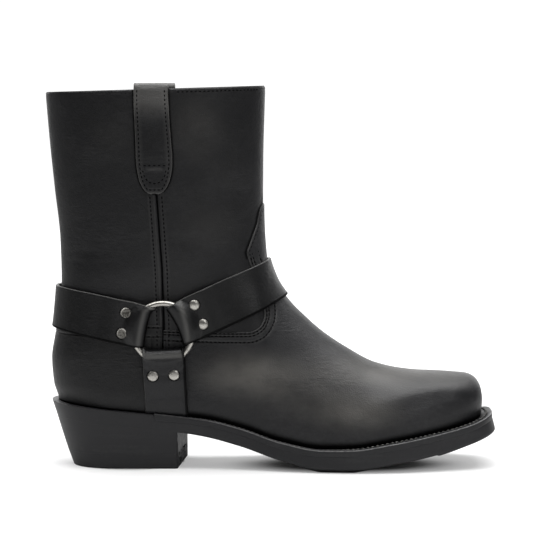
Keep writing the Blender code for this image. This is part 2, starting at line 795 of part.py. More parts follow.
def add_under_strap(name, side, collection):
    """The short strap from a ring down to the sole's edge."""
    fibres = []
    for share in strap_shares():
        path = fold_path(UNDER_ANGLE, share, side, UNDER_FOLD_REACH)
        start, across, lift = path[-1]
        x, z = strap_place(UNDER_ANGLE, across, start)
        last = start + z - float(feather(x)) - 3 * GAP
        path += [(start + (last - start) * k, across, lift) for k in UNDER_STRAP_STEPS]
        fibres.append([strap_point(UNDER_ANGLE, a, along, height, side) for along, a, height in path])
    return strap_from(name, fibres, collection)


def strap_from(name, fibres, collection):
    rows = len(fibres[0])
    points = [fibre[row] for row in range(rows) for fibre in fibres]
    strap = add_mesh(name, points, sheet_faces(rows, len(fibres)), "strap_leather", collection, closed=False)
    add_solidify(strap, STRAP_THICKNESS, 0)
    return strap


def add_rivet(name, angle, across, side, collection):
    """A domed head on the doubled part of a strap."""
    x, z = strap_place(angle, across, RIVET_ALONG)
    lift = strap_layers(x, z, side, "double") + STRAP_THICKNESS / 2 + RIVET_CLEAR
    seat = Vector(strap_point(angle, across, RIVET_ALONG, lift, side))
    below = Vector(strap_point(angle, across, RIVET_ALONG, 0, side))
    ahead = Vector(strap_point(angle, across + RIVET_TILT_SPAN, RIVET_ALONG, lift, side))
    beside = Vector(strap_point(angle, across, RIVET_ALONG + RIVET_TILT_SPAN, lift, side))
    normal = (ahead - seat).cross(beside - seat).normalized()
    if normal.dot(seat - below) < 0:
        normal.negate()
    dome = bmesh.new()
    bmesh.ops.create_uvsphere(dome, u_segments=RIVET_SEGMENTS, v_segments=RIVET_RINGS, radius=RIVET_RADIUS * MM)
    bmesh.ops.scale(dome, vec=(1, 1, RIVET_HEIGHT / RIVET_RADIUS), verts=dome.verts)
    everything = dome.verts[:] + dome.edges[:] + dome.faces[:]
    cut = bmesh.ops.bisect_plane(dome, geom=everything, plane_co=(0, 0, 0), plane_no=(0, 0, -1), clear_outer=True)
    rim = [item for item in cut["geom_cut"] if isinstance(item, bmesh.types.BMEdge)]
    bmesh.ops.contextual_create(dome, geom=rim)
    bmesh.ops.recalc_face_normals(dome, faces=dome.faces)
    mesh = bpy.data.meshes.new(name)
    dome.to_mesh(mesh)
    dome.free()
    mesh.materials.append(finish("nickel"))
    rivet = bpy.data.objects.new(name, mesh)
    rivet.location = seat * MM
    rivet.rotation_euler = normal.to_track_quat("Z", "Y").to_euler()
    collection.objects.link(rivet)
    return rivet


def add_harness(collection):
    for side, word in ((LATERAL, "lateral"), (MEDIAL, "medial")):
        add_ring("ring_" + word, side, collection)
        add_under_strap("strap_under_" + word, side, collection)
        for angle, place in ((FRONT_ANGLE, "front"), (BACK_ANGLE, "back"), (UNDER_ANGLE, "under")):
            for number in (1, 2):
                across = strap_shift(angle) + RIVET_SPACING * (number - 1.5)
                add_rivet("rivet_%s_%s_%d" % (place, word, number), angle, across, side, collection)
    add_long_strap("strap_front", FRONT_ANGLE, collection)
    add_long_strap("strap_back", BACK_ANGLE, collection)


def add_tab(name, side, collection):
    """A pull tab from its rounded tip up over the collar and down inside."""
    half = TAB_WIDTH / 2
    outside = TAB_CLEAR + TAB_THICKNESS / 2
    inside = -WALL - TAB_INSIDE_CLEAR - TAB_THICKNESS / 2
    radius = (outside - inside) / 2
    top = COLLAR_Z + TAB_CLEAR
    rows = [(outside, TAB_TIP_Z + row.rise, row.reach) for row in TAB_OUTLINE] + [(outside, top, half)]
    for step in range(1, TAB_TURN_STEPS):
        around = math.pi * step / TAB_TURN_STEPS
        rows.append(((outside + inside) / 2 + radius * math.cos(around), top + radius * math.sin(around), half))
    rows += [(inside, z, half) for z in (top, (top + TAB_INSIDE_Z) / 2, TAB_INSIDE_Z)]
    points = []
    for lift, z, reach in rows:
        for share in TAB_FIBRES:
            x = TAB_X + share * reach
            points.append((x, side * (float(half_width(x, min(z, COLLAR_Z), side)) + lift), z))
    tab = add_mesh(name, points, sheet_faces(len(rows), len(TAB_FIBRES)), "upper_leather", collection, closed=False)
    add_solidify(tab, TAB_THICKNESS, 0)
    return tab


def stand_centred(collection):
    """Parents every part to one empty, which brings the middle of the boot's box over the origin."""
    bpy.context.view_layer.update()
    graph = bpy.context.evaluated_depsgraph_get()
    corners = []
    for part in collection.objects:
        shaped = part.evaluated_get(graph)
        corners += [part.matrix_world @ vertex.co for vertex in shaped.data.vertices]
    middle_x = (min(c.x for c in corners) + max(c.x for c in corners)) / 2
    middle_y = (min(c.y for c in corners) + max(c.y for c in corners)) / 2
    stand = bpy.data.objects.new("stand", None)
    for part in list(collection.objects):
        part.parent = stand
    collection.objects.link(stand)
    stand.location = (-middle_x, -middle_y, 0)


def main():
    for old in list(bpy.data.objects):
        bpy.data.objects.remove(old)
    boot = new_collection("harness_boot")
    cutters = new_collection("cutters")
    add_outsole(boot)
    add_welt(boot)
    add_heel(boot)
    add_insole(boot)
    add_upper(boot)
    add_panels(boot, cutters)
    add_piping(boot, cutters)
    add_tab("tab_lateral", LATERAL, boot)
    add_tab("tab_medial", MEDIAL, boot)
    add_harness(boot)
    stand_centred(boot)


main()
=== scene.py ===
import math

import bpy
import numpy as np
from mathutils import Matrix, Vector


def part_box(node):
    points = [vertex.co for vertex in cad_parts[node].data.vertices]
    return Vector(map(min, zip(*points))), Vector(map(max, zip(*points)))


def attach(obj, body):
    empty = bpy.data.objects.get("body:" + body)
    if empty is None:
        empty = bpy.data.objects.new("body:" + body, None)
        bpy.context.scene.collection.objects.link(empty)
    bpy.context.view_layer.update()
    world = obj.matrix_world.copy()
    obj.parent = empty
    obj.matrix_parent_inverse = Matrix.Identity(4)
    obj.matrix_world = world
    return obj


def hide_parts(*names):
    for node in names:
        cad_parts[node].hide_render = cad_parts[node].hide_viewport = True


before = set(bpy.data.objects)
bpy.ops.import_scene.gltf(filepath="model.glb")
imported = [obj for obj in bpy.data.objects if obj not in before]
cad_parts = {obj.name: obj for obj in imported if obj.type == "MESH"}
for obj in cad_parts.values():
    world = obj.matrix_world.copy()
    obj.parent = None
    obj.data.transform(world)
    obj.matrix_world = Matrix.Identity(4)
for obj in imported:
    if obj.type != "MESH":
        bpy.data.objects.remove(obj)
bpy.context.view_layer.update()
bpy.ops.object.select_all(action="DESELECT")
print("frame loaded")

mm = 0.001
lateral = -1
medial = 1

# The boot's own axes: x from heel to toe, y across, z up, in millimetres
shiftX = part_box("outsole")[1].x / mm - 157.0
shiftY = (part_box("tab_lateral")[0].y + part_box("tab_medial")[1].y) / 2 / mm


# Shape of the boot

# x, half-widths of the sole each side, height of its edge and underside, ledge, fullness of the foot
soleRows = np.array([
    (-152.6, 36.0, 36.0, 45.6, 35.6, 3.6, 2.6),
    (-115.0, 36.8, 36.2, 41.4, 31.0, 3.6, 2.6),
    (-80.0, 36.8, 35.0, 38.2, 27.9, 3.8, 2.5),
    (-47.0, 37.5, 31.5, 35.2, 23.2, 4.0, 2.3),
    (-20.0, 41.0, 31.5, 29.1, 16.6, 4.4, 2.1),
    (8.0, 47.0, 36.0, 20.2, 7.6, 5.2, 1.95),
    (36.0, 52.4, 43.0, 15.6, 2.1, 6.0, 1.95),
    (57.0, 54.5, 47.5, 16.0, 2.2, 6.4, 2.05),
    (86.0, 53.0, 50.0, 20.3, 6.0, 6.6, 2.8),
    (116.0, 45.5, 46.0, 25.8, 11.6, 6.8, 4.9),
    (140.0, 37.5, 38.5, 31.6, 18.8, 7.2, 5.4),
    (157.0, 33.0, 33.0, 38.3, 25.0, 7.4, 5.4),
])
soleColumn = {"lateral": 1, "medial": 2, "top": 3, "under": 4, "ledge": 5, "fullness": 6}

# height, back line, half-width of the leg
legRows = np.array([
    (36.0, -146.6, 36.0),
    (47.0, -148.0, 36.0),
    (58.0, -151.2, 36.2),
    (75.0, -152.5, 36.6),
    (92.0, -150.0, 37.0),
    (110.0, -147.8, 37.8),
    (131.0, -146.4, 38.5),
    (160.0, -147.2, 39.2),
    (193.0, -150.7, 40.2),
    (227.0, -154.1, 41.3),
    (264.0, -157.1, 42.0),
])

# front line from the toe's feather edge up the instep and shin to the collar
frontRows = np.array([
    (147.2, 33.4), (148.3, 46.0), (147.3, 53.0), (144.4, 58.8), (138.5, 62.1), (130.0, 63.1), (117.0, 63.8),
    (105.0, 64.3), (91.0, 65.9), (73.0, 70.3), (53.0, 81.0), (36.6, 92.0), (24.0, 103.0), (12.7, 114.6),
    (2.3, 130.0), (-3.2, 148.0), (-4.9, 180.0), (-4.6, 215.0), (-3.2, 264.0),
])

upperShape = {
    "featherGap": 0.5,
    "collarZ": 264.0,
    "collarBackDrop": 3.2,
    "collarFrontRise": 1.3,
    "tuck": 2.0,
    "tuckHeight": 14.0,
    "toeRound": 26.0,
    "toePower": 3.0,
    "backRound": 40.0,
    "backPower": 2.2,
    "legPower": 2.25,
    "ankleLow": 88.0,
    "ankleHigh": 165.0,
    "toeTopX": 130.0,
    "toeTopZ": 63.1,
    "shaftStartZ": 148.0,
    "shinSlope": 8.0,
    "turnWeight": 11.0,
}


def smoothCurve(at, knots, values):
    # passes through every row and never overshoots it
    at = np.clip(np.asarray(at, float), knots[0], knots[-1])
    step = np.diff(knots)
    slope = np.diff(values) / step
    both = slope[:-1] * slope[1:]
    inner = np.where(both > 0, 2 * both / np.where(both > 0, slope[:-1] + slope[1:], 1.0), 0.0)
    tangent = np.concatenate([slope[:1], inner, slope[-1:]])
    index = np.clip(np.searchsorted(knots, at, side="right") - 1, 0, len(step) - 1)
    width = step[index]
    t = (at - knots[index]) / width
    start = (1 + 2 * t) * (1 - t) ** 2 * values[index] + t * (1 - t) ** 2 * width * tangent[index]
    end = t * t * (3 - 2 * t) * values[index + 1] - t * t * (1 - t) * width * tangent[index + 1]
    return start + end


def sole(x, name):
    return smoothCurve(x, soleRows[:, 0], soleRows[:, soleColumn[name]])


def soleWidth(x, side):
    return np.where(np.asarray(side) < 0, sole(x, "lateral"), sole(x, "medial"))


def feather(x):
    return sole(x, "top") + upperShape["featherGap"]


def legBack(z):
    return smoothCurve(z, legRows[:, 0], legRows[:, 1])


def legWidth(z):
    return smoothCurve(z, legRows[:, 0], legRows[:, 2])


def rounded(t, power):
    return (1 - np.clip(t, 0, 1) ** power) ** (1 / power)


def softStep(t):
    t = np.clip(t, 0, 1)
    return t * t * (3 - 2 * t)


def band(d, at, width):
    # 1 at a distance, falling away on both sides of it
    return np.exp(-(((d - at) / width) ** 2))


def chordLength(line):
    # how far along a line each of its places lies
    return np.concatenate([[0], np.cumsum(np.linalg.norm(np.diff(line, axis=0), axis=1))])


frontChord = chordLength(frontRows)
frontAlong = np.linspace(0, frontChord[-1], 3000)
frontX = smoothCurve(frontAlong, frontChord, frontRows[:, 0])
frontZ = smoothCurve(frontAlong, frontChord, frontRows[:, 1])
toePart = (frontX >= upperShape["toeTopX"]) & (frontZ < upperShape["toeTopZ"])
vampPart = (frontX <= upperShape["toeTopX"]) & (frontZ <= upperShape["shaftStartZ"]) & (frontZ > 46.0)
legPart = frontZ > upperShape["ankleLow"] - 10
frontTurn = np.abs(np.diff(np.unwrap(np.arctan2(np.diff(frontZ), np.diff(frontX)))))
frontWeight = frontAlong + upperShape["turnWeight"] * np.concatenate([[0, 0], np.cumsum(frontTurn)])
ankleWeight = frontWeight[np.argmax(frontZ >= upperShape["shaftStartZ"])]


def toeFront(z):
    return np.interp(z, frontZ[toePart], frontX[toePart])


def instep(x):
    vampX = frontX[vampPart][::-1]
    vampZ = frontZ[vampPart][::-1]
    behind = vampZ[0] + upperShape["shinSlope"] * np.maximum(vampX[0] - x, 0)
    return np.where(x < vampX[0], behind, np.interp(x, vampX, vampZ))


def legFront(z):
    return np.interp(z, frontZ[legPart], frontX[legPart])


# Creases and swells of the worn leather: a line in the side view, its width, its depth and its sides
creases = [
    ([(80, 31), (91, 41), (104, 48), (122, 52)], 5.0, -0.9, (lateral, medial)),
    ([(74, 44), (88, 51), (106, 56), (126, 58)], 7.0, 0.8, (lateral, medial)),
    ([(-40, 66), (-5, 60), (35, 49)], 12.0, 0.9, (lateral,)),
    ([(-45, 48), (0, 37), (40, 29)], 9.0, -0.3, (lateral,)),
    ([(-36, 84), (0, 78), (22, 80)], 8.0, -0.5, (lateral, medial)),
    ([(-68, 161), (-60, 160), (-50, 162)], 1.5, -0.4, (lateral,)),
    ([(-66, 156.5), (-57, 156), (-48, 157)], 1.4, -0.36, (lateral,)),
    ([(-30, 192), (-22, 193), (-14, 192)], 1.6, -0.32, (lateral,)),
    ([(-144, 150), (-134, 149), (-122, 151)], 2.2, -0.3, (lateral,)),
    ([(-142, 144), (-130, 143)], 1.8, -0.22, (lateral,)),
    ([(-138, 130), (-112, 138), (-92, 137)], 13.0, 0.8, (lateral, medial)),
    ([(-120, 205), (-112, 165), (-108, 150)], 14.0, -0.6, (lateral, medial)),
    ([(-52, 150), (-38, 175), (-36, 230)], 15.0, 0.5, (lateral, medial)),
]


def lineDistance(x, z, line):
    # distance from a line in the side view
    best = np.full(np.shape(x), 1e9)
    for (ax, az), (bx, bz) in zip(line[:-1], line[1:]):
        length = math.hypot(bx - ax, bz - az)
        t = np.clip(((x - ax) * (bx - ax) + (z - az) * (bz - az)) / length ** 2, 0, 1)
        gap = np.hypot(x - ax - t * (bx - ax), z - az - t * (bz - az))
        best = np.minimum(gap, best)
    return best


def relief(x, z, side):
    total = np.zeros(np.shape(x))
    for line, width, depth, sides in creases:
        deep = depth * band(lineDistance(x, z, line), 0, width)
        total = total + np.where(np.isin(side, sides), deep, 0.0)
    return total


def halfWidth(x, z, side, plain=False):
    x = np.asarray(x, float)
    z = np.asarray(z, float)
    shape = upperShape
    low = feather(x)
    rise = np.clip((z - low) / (instep(x) - low), 0, 1)
    tuck = shape["tuck"] * np.clip(1 - (z - low) / shape["tuckHeight"], 0, 1) ** 2
    foot = (soleWidth(x, side) - sole(x, "ledge") - tuck) * (1 - rise ** sole(x, "fullness")) ** 0.5
    foot = foot * rounded((x - toeFront(z)) / shape["toeRound"] + 1, shape["toePower"])
    foot = foot * rounded((legBack(z) - x) / shape["backRound"] + 1, shape["backPower"])
    middle = (legBack(z) + legFront(z)) / 2
    reach = legFront(z) - middle
    shaft = legWidth(z) * rounded(np.abs(x - middle) / reach, shape["legPower"])
    share = softStep((z - shape["ankleLow"]) / (shape["ankleHigh"] - shape["ankleLow"]))
    width = foot + (shaft - foot) * share
    if plain:
        return width
    return width + relief(x, z, side) * np.clip(width / 12, 0, 1)


def columnShare(f):
    # closer columns near the front and back lines
    end = 0.12
    slope = 1 / (1 - end)
    low = slope * f * f / (2 * end)
    middle = slope * (f - end / 2)
    high = 1 - slope * (1 - f) ** 2 / (2 * end)
    return np.where(f < end, low, np.where(f > 1 - end, high, middle))


baseU = np.linspace(0, 1, 400)
baseBack = float(legBack(feather(-152.6)))
baseX = baseBack + baseU * (frontX[0] - baseBack)
baseDip = feather(baseX) - (feather(baseX[0]) + baseU * (feather(baseX[-1]) - feather(baseX[0])))


def sidePlace(u, v):
    # u runs 0..1 from back to front on the lateral side and 1..2 back again on the medial
    # v runs from sole to collar
    side = np.where(u <= 1, lateral, medial)
    share = columnShare(np.where(u <= 1, u, 2 - u))
    weight = v * frontWeight[-1]
    fx = np.interp(weight, frontWeight, frontX)
    fz = np.interp(weight, frontWeight, frontZ)
    lowZ = float(feather(baseBack))
    backZ = lowZ + (upperShape["shaftStartZ"] - lowZ) * np.clip(weight / ankleWeight, 0, 1)
    # the collar falls a little towards the back
    tall = softStep((fz - 200) / (upperShape["collarZ"] - 200))
    backZ = np.where(weight < ankleWeight, backZ, fz - tall * upperShape["collarBackDrop"])
    fz = fz + tall * upperShape["collarFrontRise"]
    bx = legBack(backZ)
    x = bx + share * (fx - bx)
    lift = np.clip((backZ - lowZ) / (upperShape["collarZ"] - upperShape["collarBackDrop"] - lowZ), 0, 1)
    z = backZ + share * (fz - backZ) + np.interp(share, baseU, baseDip) * (1 - lift)
    return x, z, side


def skinPoint(u, v):
    x, z, side = sidePlace(u, v)
    y = side * halfWidth(x, np.minimum(z, upperShape["collarZ"]), side)
    atEnd = np.abs(u % 1) < 1e-9
    return x, np.where(atEnd, 0.0, y), z


# Small helpers for meshes

def setPlaces(piece, x, y, z):
    # puts a mesh's vertices at boot millimetres, moved into the frame
    places = np.stack([x + shiftX, y + shiftY, z], 1) * mm
    piece.data.vertices.foreach_set("co", places.astype(np.float32).ravel())
    piece.data.update()


def getPlaces(piece, kind="co"):
    flat = np.zeros(len(piece.data.vertices) * 3)
    piece.data.vertices.foreach_get(kind, flat)
    return flat.reshape(-1, 3)


def rename(name):
    piece = bpy.context.active_object
    piece.name = name
    piece.data.name = name
    return piece


def pick(piece):
    bpy.ops.object.select_all(action="DESELECT")
    piece.select_set(True)
    bpy.context.view_layer.objects.active = piece


def editMesh(piece):
    pick(piece)
    bpy.ops.object.mode_set(mode="EDIT")
    bpy.ops.mesh.select_all(action="SELECT")


def leaveEdit():
    bpy.ops.object.mode_set(mode="OBJECT")


def applyAll(piece):
    pick(piece)
    for modifier in list(piece.modifiers):
        bpy.ops.object.modifier_apply(modifier=modifier.name)


def addGrid(name, columns, rows):
    bpy.ops.mesh.primitive_grid_add(x_subdivisions=columns, y_subdivisions=rows, size=1, location=(0, 0, 0))
    return rename(name)


def thicken(piece, thickness, offset):
    wall = piece.modifiers.new("wall", "SOLIDIFY")
    wall.thickness = thickness * mm
    wall.offset = offset
    wall.use_rim = True
    wall.use_even_offset = False
    applyAll(piece)


def mergeDoubles(piece, gap=0.02):
    editMesh(piece)
    bpy.ops.mesh.remove_doubles(threshold=gap * mm)
    leaveEdit()


def shadeRound(piece, angle):
    pick(piece)
    bpy.ops.object.shade_smooth_by_angle(angle=math.radians(angle))


def closeUp(piece, angle, gap=0.02):
    # joins the ends of a loft and turns its faces outward
    mergeDoubles(piece, gap)
    editMesh(piece)
    bpy.ops.mesh.normals_make_consistent(inside=False)
    leaveEdit()
    shadeRound(piece, angle)


def setAttribute(piece, name, values):
    layer = piece.data.attributes.new(name, "FLOAT", "POINT")
    layer.data.foreach_set("value", np.asarray(values, np.float32))


def finishPiece(piece, material, nodes=()):
    piece.data.materials.clear()
    piece.data.materials.append(material)
    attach(piece, "root")
    if nodes:
        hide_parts(*nodes)
    return piece


# Shader maths

class Value:
    def __init__(self, tree, socket=None):
        self.tree = tree
        self.socket = socket

    def node(self, kind, settings=None, sockets=None, out=0):
        made = self.tree.nodes.new(kind)
        for name, setting in (settings or {}).items():
            setattr(made, name, setting)
        for name, given in (sockets or {}).items():
            if isinstance(given, Value):
                self.tree.links.new(given.socket, made.inputs[name])
            else:
                made.inputs[name].default_value = given
        return Value(self.tree, made.outputs[out])

    def maths(self, operation, first, second=0.0):
        return self.node("ShaderNodeMath", {"operation": operation}, {0: first, 1: second})

    def __add__(self, other):
        return self.maths("ADD", self, other)

    def __radd__(self, other):
        return self.maths("ADD", other, self)

    def __sub__(self, other):
        return self.maths("SUBTRACT", self, other)

    def __rsub__(self, other):
        return self.maths("SUBTRACT", other, self)

    def __mul__(self, other):
        return self.maths("MULTIPLY", self, other)

    def __rmul__(self, other):
        return self.maths("MULTIPLY", other, self)

    def between(self, low, high):
        # soft 0..1 as the value goes from low to high
        sockets = {"Value": self, "From Min": low, "From Max": high}
        return self.node("ShaderNodeMapRange", {"interpolation_type": "SMOOTHSTEP"}, sockets)

    def tint(self, first, second):
        # colour mixed by this value
        return self.node("ShaderNodeMix", {"data_type": "RGBA"}, {0: self, 6: first, 7: second}, out=2)

    def noise(self, scale, detail=2.0, stretch=(1, 1, 1), roughness=0.5):
        place = self
        if stretch != (1, 1, 1):
            place = self.node("ShaderNodeMapping", None, {"Vector": self, "Scale": stretch})
        sockets = {"Vector": place, "Scale": scale, "Detail": detail, "Roughness": roughness}
        return self.node("ShaderNodeTexNoise", None, sockets)

    def cells(self, scale):
        return self.node("ShaderNodeTexVoronoi", None, {"Vector": self, "Scale": scale})

    def attribute(self, name):
        return self.node("ShaderNodeAttribute", {"attribute_name": name}, out=2)

    def blob(self, centre, size):
        # 1 at a place on the boot, falling to 0 over a size in each direction
        at = [centre[0] + shiftX, centre[1] + shiftY, centre[2]]
        location = tuple(-a / s for a, s in zip(at, size))
        scale = tuple(1 / (s * mm) for s in size)
        sockets = {"Vector": self, "Location": location, "Scale": scale}
        near = self.node("ShaderNodeMapping", None, sockets)
        far = self.node("ShaderNodeVectorMath", {"operation": "LENGTH"}, {0: near}, out=1)
        return 1 - far.between(0.0, 1.0)


def newMaterial(name, colour, roughness, metallic=0.0):
    material = bpy.data.materials.new(name)
    material.use_nodes = True
    material.diffuse_color = (*colour, 1)
    tree = material.node_tree
    shader = tree.nodes["Principled BSDF"]
    shader.inputs["Base Color"].default_value = (*colour, 1)
    shader.inputs["Roughness"].default_value = roughness
    shader.inputs["Metallic"].default_value = metallic
    return material, shader, Value(tree).node("ShaderNodeTexCoord", out="Object")


def feed(shader, name, value):
    value.tree.links.new(value.socket, shader.inputs[name])


def bump(height, strength, distance):
    sockets = {"Height": height, "Strength": strength, "Distance": distance * mm}
    return height.node("ShaderNodeBump", None, sockets)


def paintShade(material, shader, factor, colour):
    # painted shade: a matt black without shine, mixed in where the factor is high
    sockets = {"Base Color": colour, "Roughness": 1.0, "Specular IOR Level": 0.02}
    black = factor.node("ShaderNodeBsdfPrincipled", None, sockets)
    skin = Value(factor.tree, shader.outputs["BSDF"])
    mixed = factor.node("ShaderNodeMixShader", None, {0: factor, 1: skin, 2: black})
    feed(material.node_tree.nodes["Material Output"], "Surface", mixed)


leatherLook = {
    "dark": (0.0064, 0.0064, 0.0077, 1),
    "worn": (0.0192, 0.019, 0.0205, 1),
    "sheenColour": (0.088, 0.084, 0.077, 1),
    "strapCut": (0.13, 0.128, 0.122, 1),
    "cut": (0.085, 0.083, 0.08, 1),
    "paintedShade": (0.001, 0.001, 0.001, 1),
    "roughness": 0.46,
    "specular": 0.4,
    "poreScale": 1150.0,
    "wrinkleScale": 420.0,
    "foldScale": 620.0,
}


def leatherMaterial(name, sheenPatches=(), gloss=0.0, tone=1.0, cut="cut"):
    look = leatherLook
    material, shader, place = newMaterial(name, look["dark"][:3], look["roughness"])
    shader.inputs["Specular IOR Level"].default_value = look["specular"]
    mottle = place.noise(34.0, 4.0, (0.5, 1, 1), 0.6)
    cloud = place.noise(11.0, 2.0)
    speckle = place.noise(210.0, 3.0, (0.6, 1, 1))
    fine = place.noise(look["wrinkleScale"], 3.0)
    share = (mottle - 0.42) * 1.5 + (cloud - 0.42) * 0.9
    # a tone below 1 darkens this copy of the leather: painted shade
    share = (share + (speckle - 0.5) * 0.8 + (fine - 0.5) * 0.9) * tone
    dark = tuple(part * tone for part in look["dark"][:3]) + (1,)
    colour = share.between(0.0, 1.0).tint(dark, look["worn"])
    streak = place.noise(60.0, 4.0, (0.7, 1, 1), 0.6)
    patch = None
    for centre, size, strength in sheenPatches:
        # painted sheen: paler, browner patches where the leather shows a sheen, also standing for pull-up
        # leather paling where it is stretched
        spot = place.blob(centre, size) * strength * (0.5 + 0.5 * streak.between(0.25, 0.65))
        patch = spot if patch is None else patch + spot
    if patch is not None:
        colour = patch.tint(colour, look["sheenColour"])
    feed(shader, "Base Color", place.attribute("edge").tint(colour, look[cut]))
    paintShade(material, shader, place.attribute("paintedShade"), look["paintedShade"])
    pores = place.cells(look["poreScale"])
    rough = look["roughness"] - gloss + (mottle - 0.5) * 0.22 + (fine - 0.5) * 0.12
    feed(shader, "Roughness", rough)
    # short fine folds lie across the leather in places
    folds = place.noise(look["foldScale"], 2.0, (0.16, 0.3, 1)) * mottle.between(0.45, 0.65)
    height = pores * 0.5 + fine * 0.7 + place.noise(150.0, 2.0) * 0.8 + folds * 1.6
    feed(shader, "Normal", bump(height, 0.5, 0.35))
    return material


print("materials ready")


# Leather of the shaft, vamp and counter, cut from one skin

def roundLine(rows, count):
    rows = np.array(rows, float)
    chord = chordLength(rows)
    along = np.linspace(0, chord[-1], count)
    return np.stack([smoothCurve(along, chord, rows[:, 0]), smoothCurve(along, chord, rows[:, 1])], 1)


vampCut = {
    "edge": [
        (-73.8, 97.0), (-52, 96.2), (-32, 95.8), (-15, 95.8), (-7.5, 98.8), (-4, 107), (-8, 125),
        (-12.7, 138), (-16.2, 149.4),
    ],
    "wing": [(-16.3, 150.3), (-11.8, 162.2), (-9.1, 170), (-7.4, 178.5), (-4.7, 183.6)],
    "rows": (1.4, 3.1, 7.3),
    "thickness": 1.0,
    "sewnTopZ": 146,
}
counterCut = {"edge": [(-74.2, 100.1), (-110, 100.4), (-175, 102)], "rows": (1.6, 8.0), "thickness": 1.0}
seamLine = {
    "line": [(-79.2, 200), (-78.4, 190), (-75, 140), (-74, 101), (-73.8, 30)],
    "bead": 0.75,
    "gap": 0.9,
    "rows": (-4.0, 4.2),
    "topZ": 195,
}
shaftCut = {"lowZ": 84.0, "wall": 2.2, "roll": 0.9}
collarSeam = {
    "below": 2.6,
    "endX": (-157.6, -4.2),
    "endZ": (260.8, 265.3),
    "rows": [(-154, -94, -0.5), (-64, -8, -0.22)],  # from x, to x, lift
}

vampLine = np.concatenate([roundLine(vampCut["edge"], 60), roundLine(vampCut["wing"], 24)])
vampFar = [(-4.0, 190.0), (60.0, 200.0), (200.0, 120.0), (200.0, 0.0)]
vampOutline = [(-73.8, 0.0), *map(tuple, vampLine), *vampFar]
counterOutline = [(-74.2, 0.0), *counterCut["edge"], (-190.0, 102.0), (-190.0, 0.0)]


def insideOutline(x, z, outline):
    inside = np.zeros(np.shape(x), bool)
    for (ax, az), (bx, bz) in zip(outline, outline[1:] + outline[:1]):
        if az == bz:
            continue
        crosses = (az > z) != (bz > z)
        inside ^= crosses & (x < ax + (z - az) * (bx - ax) / (bz - az))
    return inside


def outlineDistance(outline):
    # millimetres inside an outline of the side view, negative outside
    closed = outline + outline[:1]

    def distance(x, z, side):
        gap = lineDistance(x, z, closed)
        return np.where(insideOutline(x, z, outline), gap, -gap)

    return distance


def startSkin(name, columns, rows, lowV, highV):
    # a flat grid whose x is the way round the boot and whose z is the way up it
    piece = addGrid(name, columns, rows)
    flat = getPlaces(piece)
    u = (flat[:, 0] + 0.5) * 2
    v = lowV + (flat[:, 1] + 0.5) * (highV - lowV)
    places = np.stack([u, np.zeros(len(u)), v], 1)
    piece.data.vertices.foreach_set("co", places.ravel())
    piece.data.update()
    return piece


def cutSkin(piece, distance, levels, drop=True):
    # edge lines at distances from an outline, and the leather outside the first of them dropped
    flat = getPlaces(piece)
    flat[:, 1] = distance(*sidePlace(flat[:, 0], flat[:, 2]))
    piece.data.vertices.foreach_set("co", flat.ravel())
    piece.data.update()
    editMesh(piece)
    for number, level in enumerate(levels):
        bpy.ops.mesh.select_all(action="SELECT")
        outside = drop and number == 0
        bpy.ops.mesh.bisect(plane_co=(0, level, 0), plane_no=(0, 1, 0), clear_inner=outside)
    leaveEdit()


def laySkin(piece, lift):
    # lays the flat grid on the boot, then lifts it along its normals
    flat = getPlaces(piece)
    u = flat[:, 0]
    x, z, side = sidePlace(u, flat[:, 2])
    px, py, pz = skinPoint(u, flat[:, 2])
    setPlaces(piece, px, py, pz)
    normal = getPlaces(piece, "normal")
    outward = np.sum(normal[:, 1] * py) > 0
    if not outward:
        editMesh(piece)
        bpy.ops.mesh.flip_normals()
        leaveEdit()
        normal = -normal
    atEnd = np.abs(u % 1) < 1e-6
    normal[atEnd, 1] = 0
    normal /= np.linalg.norm(normal, axis=1)[:, None]
    up = lift(x, z, side, flat[:, 2])
    setPlaces(piece, px + up * normal[:, 0], py + up * normal[:, 1], pz + up * normal[:, 2])
    return x, z, side


def edgeRoll(d, reach):
    return 1 - 0.75 * (1 - np.clip(d / reach, 0, 1)) ** 2


def groove(d, rows, width=0.55):
    return sum(band(d, row, width) for row in rows)


def shoulders(d, rows):
    # painted highlight: the raised leather beside the stitches made paler
    return sum(band(np.abs(d - row), 1.0, 0.45) for row in rows)


vampInside = outlineDistance(vampOutline)
counterInside = outlineDistance(counterOutline)


def seamOffset(x, z, side):
    # millimetres ahead of the side seam
    line = np.array(seamLine["line"])[::-1]
    return x - np.interp(z, line[:, 1], line[:, 0])


def shaftInside(x, z, side):
    return z - shaftCut["lowZ"]


def seamRelief(x, z, side):
    ahead = seamOffset(x, z, side)
    bead = seamLine["bead"] * band(ahead, -1.3, 1.25)
    gap = seamLine["gap"] * band(ahead, 0.75, 0.5)
    return bead - gap - 0.18 * groove(ahead, seamLine["rows"], 0.6)


def collarRoll(v):
    below = (1 - v) * frontWeight[-1]
    stitched = 0.25 * band(below, collarSeam["below"], 0.6)
    return -shaftCut["roll"] * (1 - np.clip(below / 1.4, 0, 1)) ** 2 - stitched


tabShape = {
    "x": -79.0,
    "thickness": 1.7,
    "clear": 0.4,
    "tipZ": 191.7,
    "insideZ": 226.0,
    "topZ": 263.6,
    "lean": -2.3,
    "farLean": -0.6,
    "ridgeZ": 208.9,
    "crown": 0.35,
    "stitch": 2.4,
    "tipRows": (0.0, 0.15, 0.4, 0.8, 1.4, 2.2, 3.2, 4.4, 6.0, 8.0, 10.0),
    "tip": [
        (0.0, 2.6), (0.3, 4.2), (1.0, 5.6), (2.4, 7.1), (4.6, 8.6), (8.0, 10.2), (13.0, 11.5), (19.0, 12.3),
        (25.0, 12.5), (48.0, 11.95), (72.0, 11.7),
    ],
}


def tabReach(z):
    tip = np.array(tabShape["tip"])
    return np.interp(z - tabShape["tipZ"], tip[:, 0], tip[:, 1])


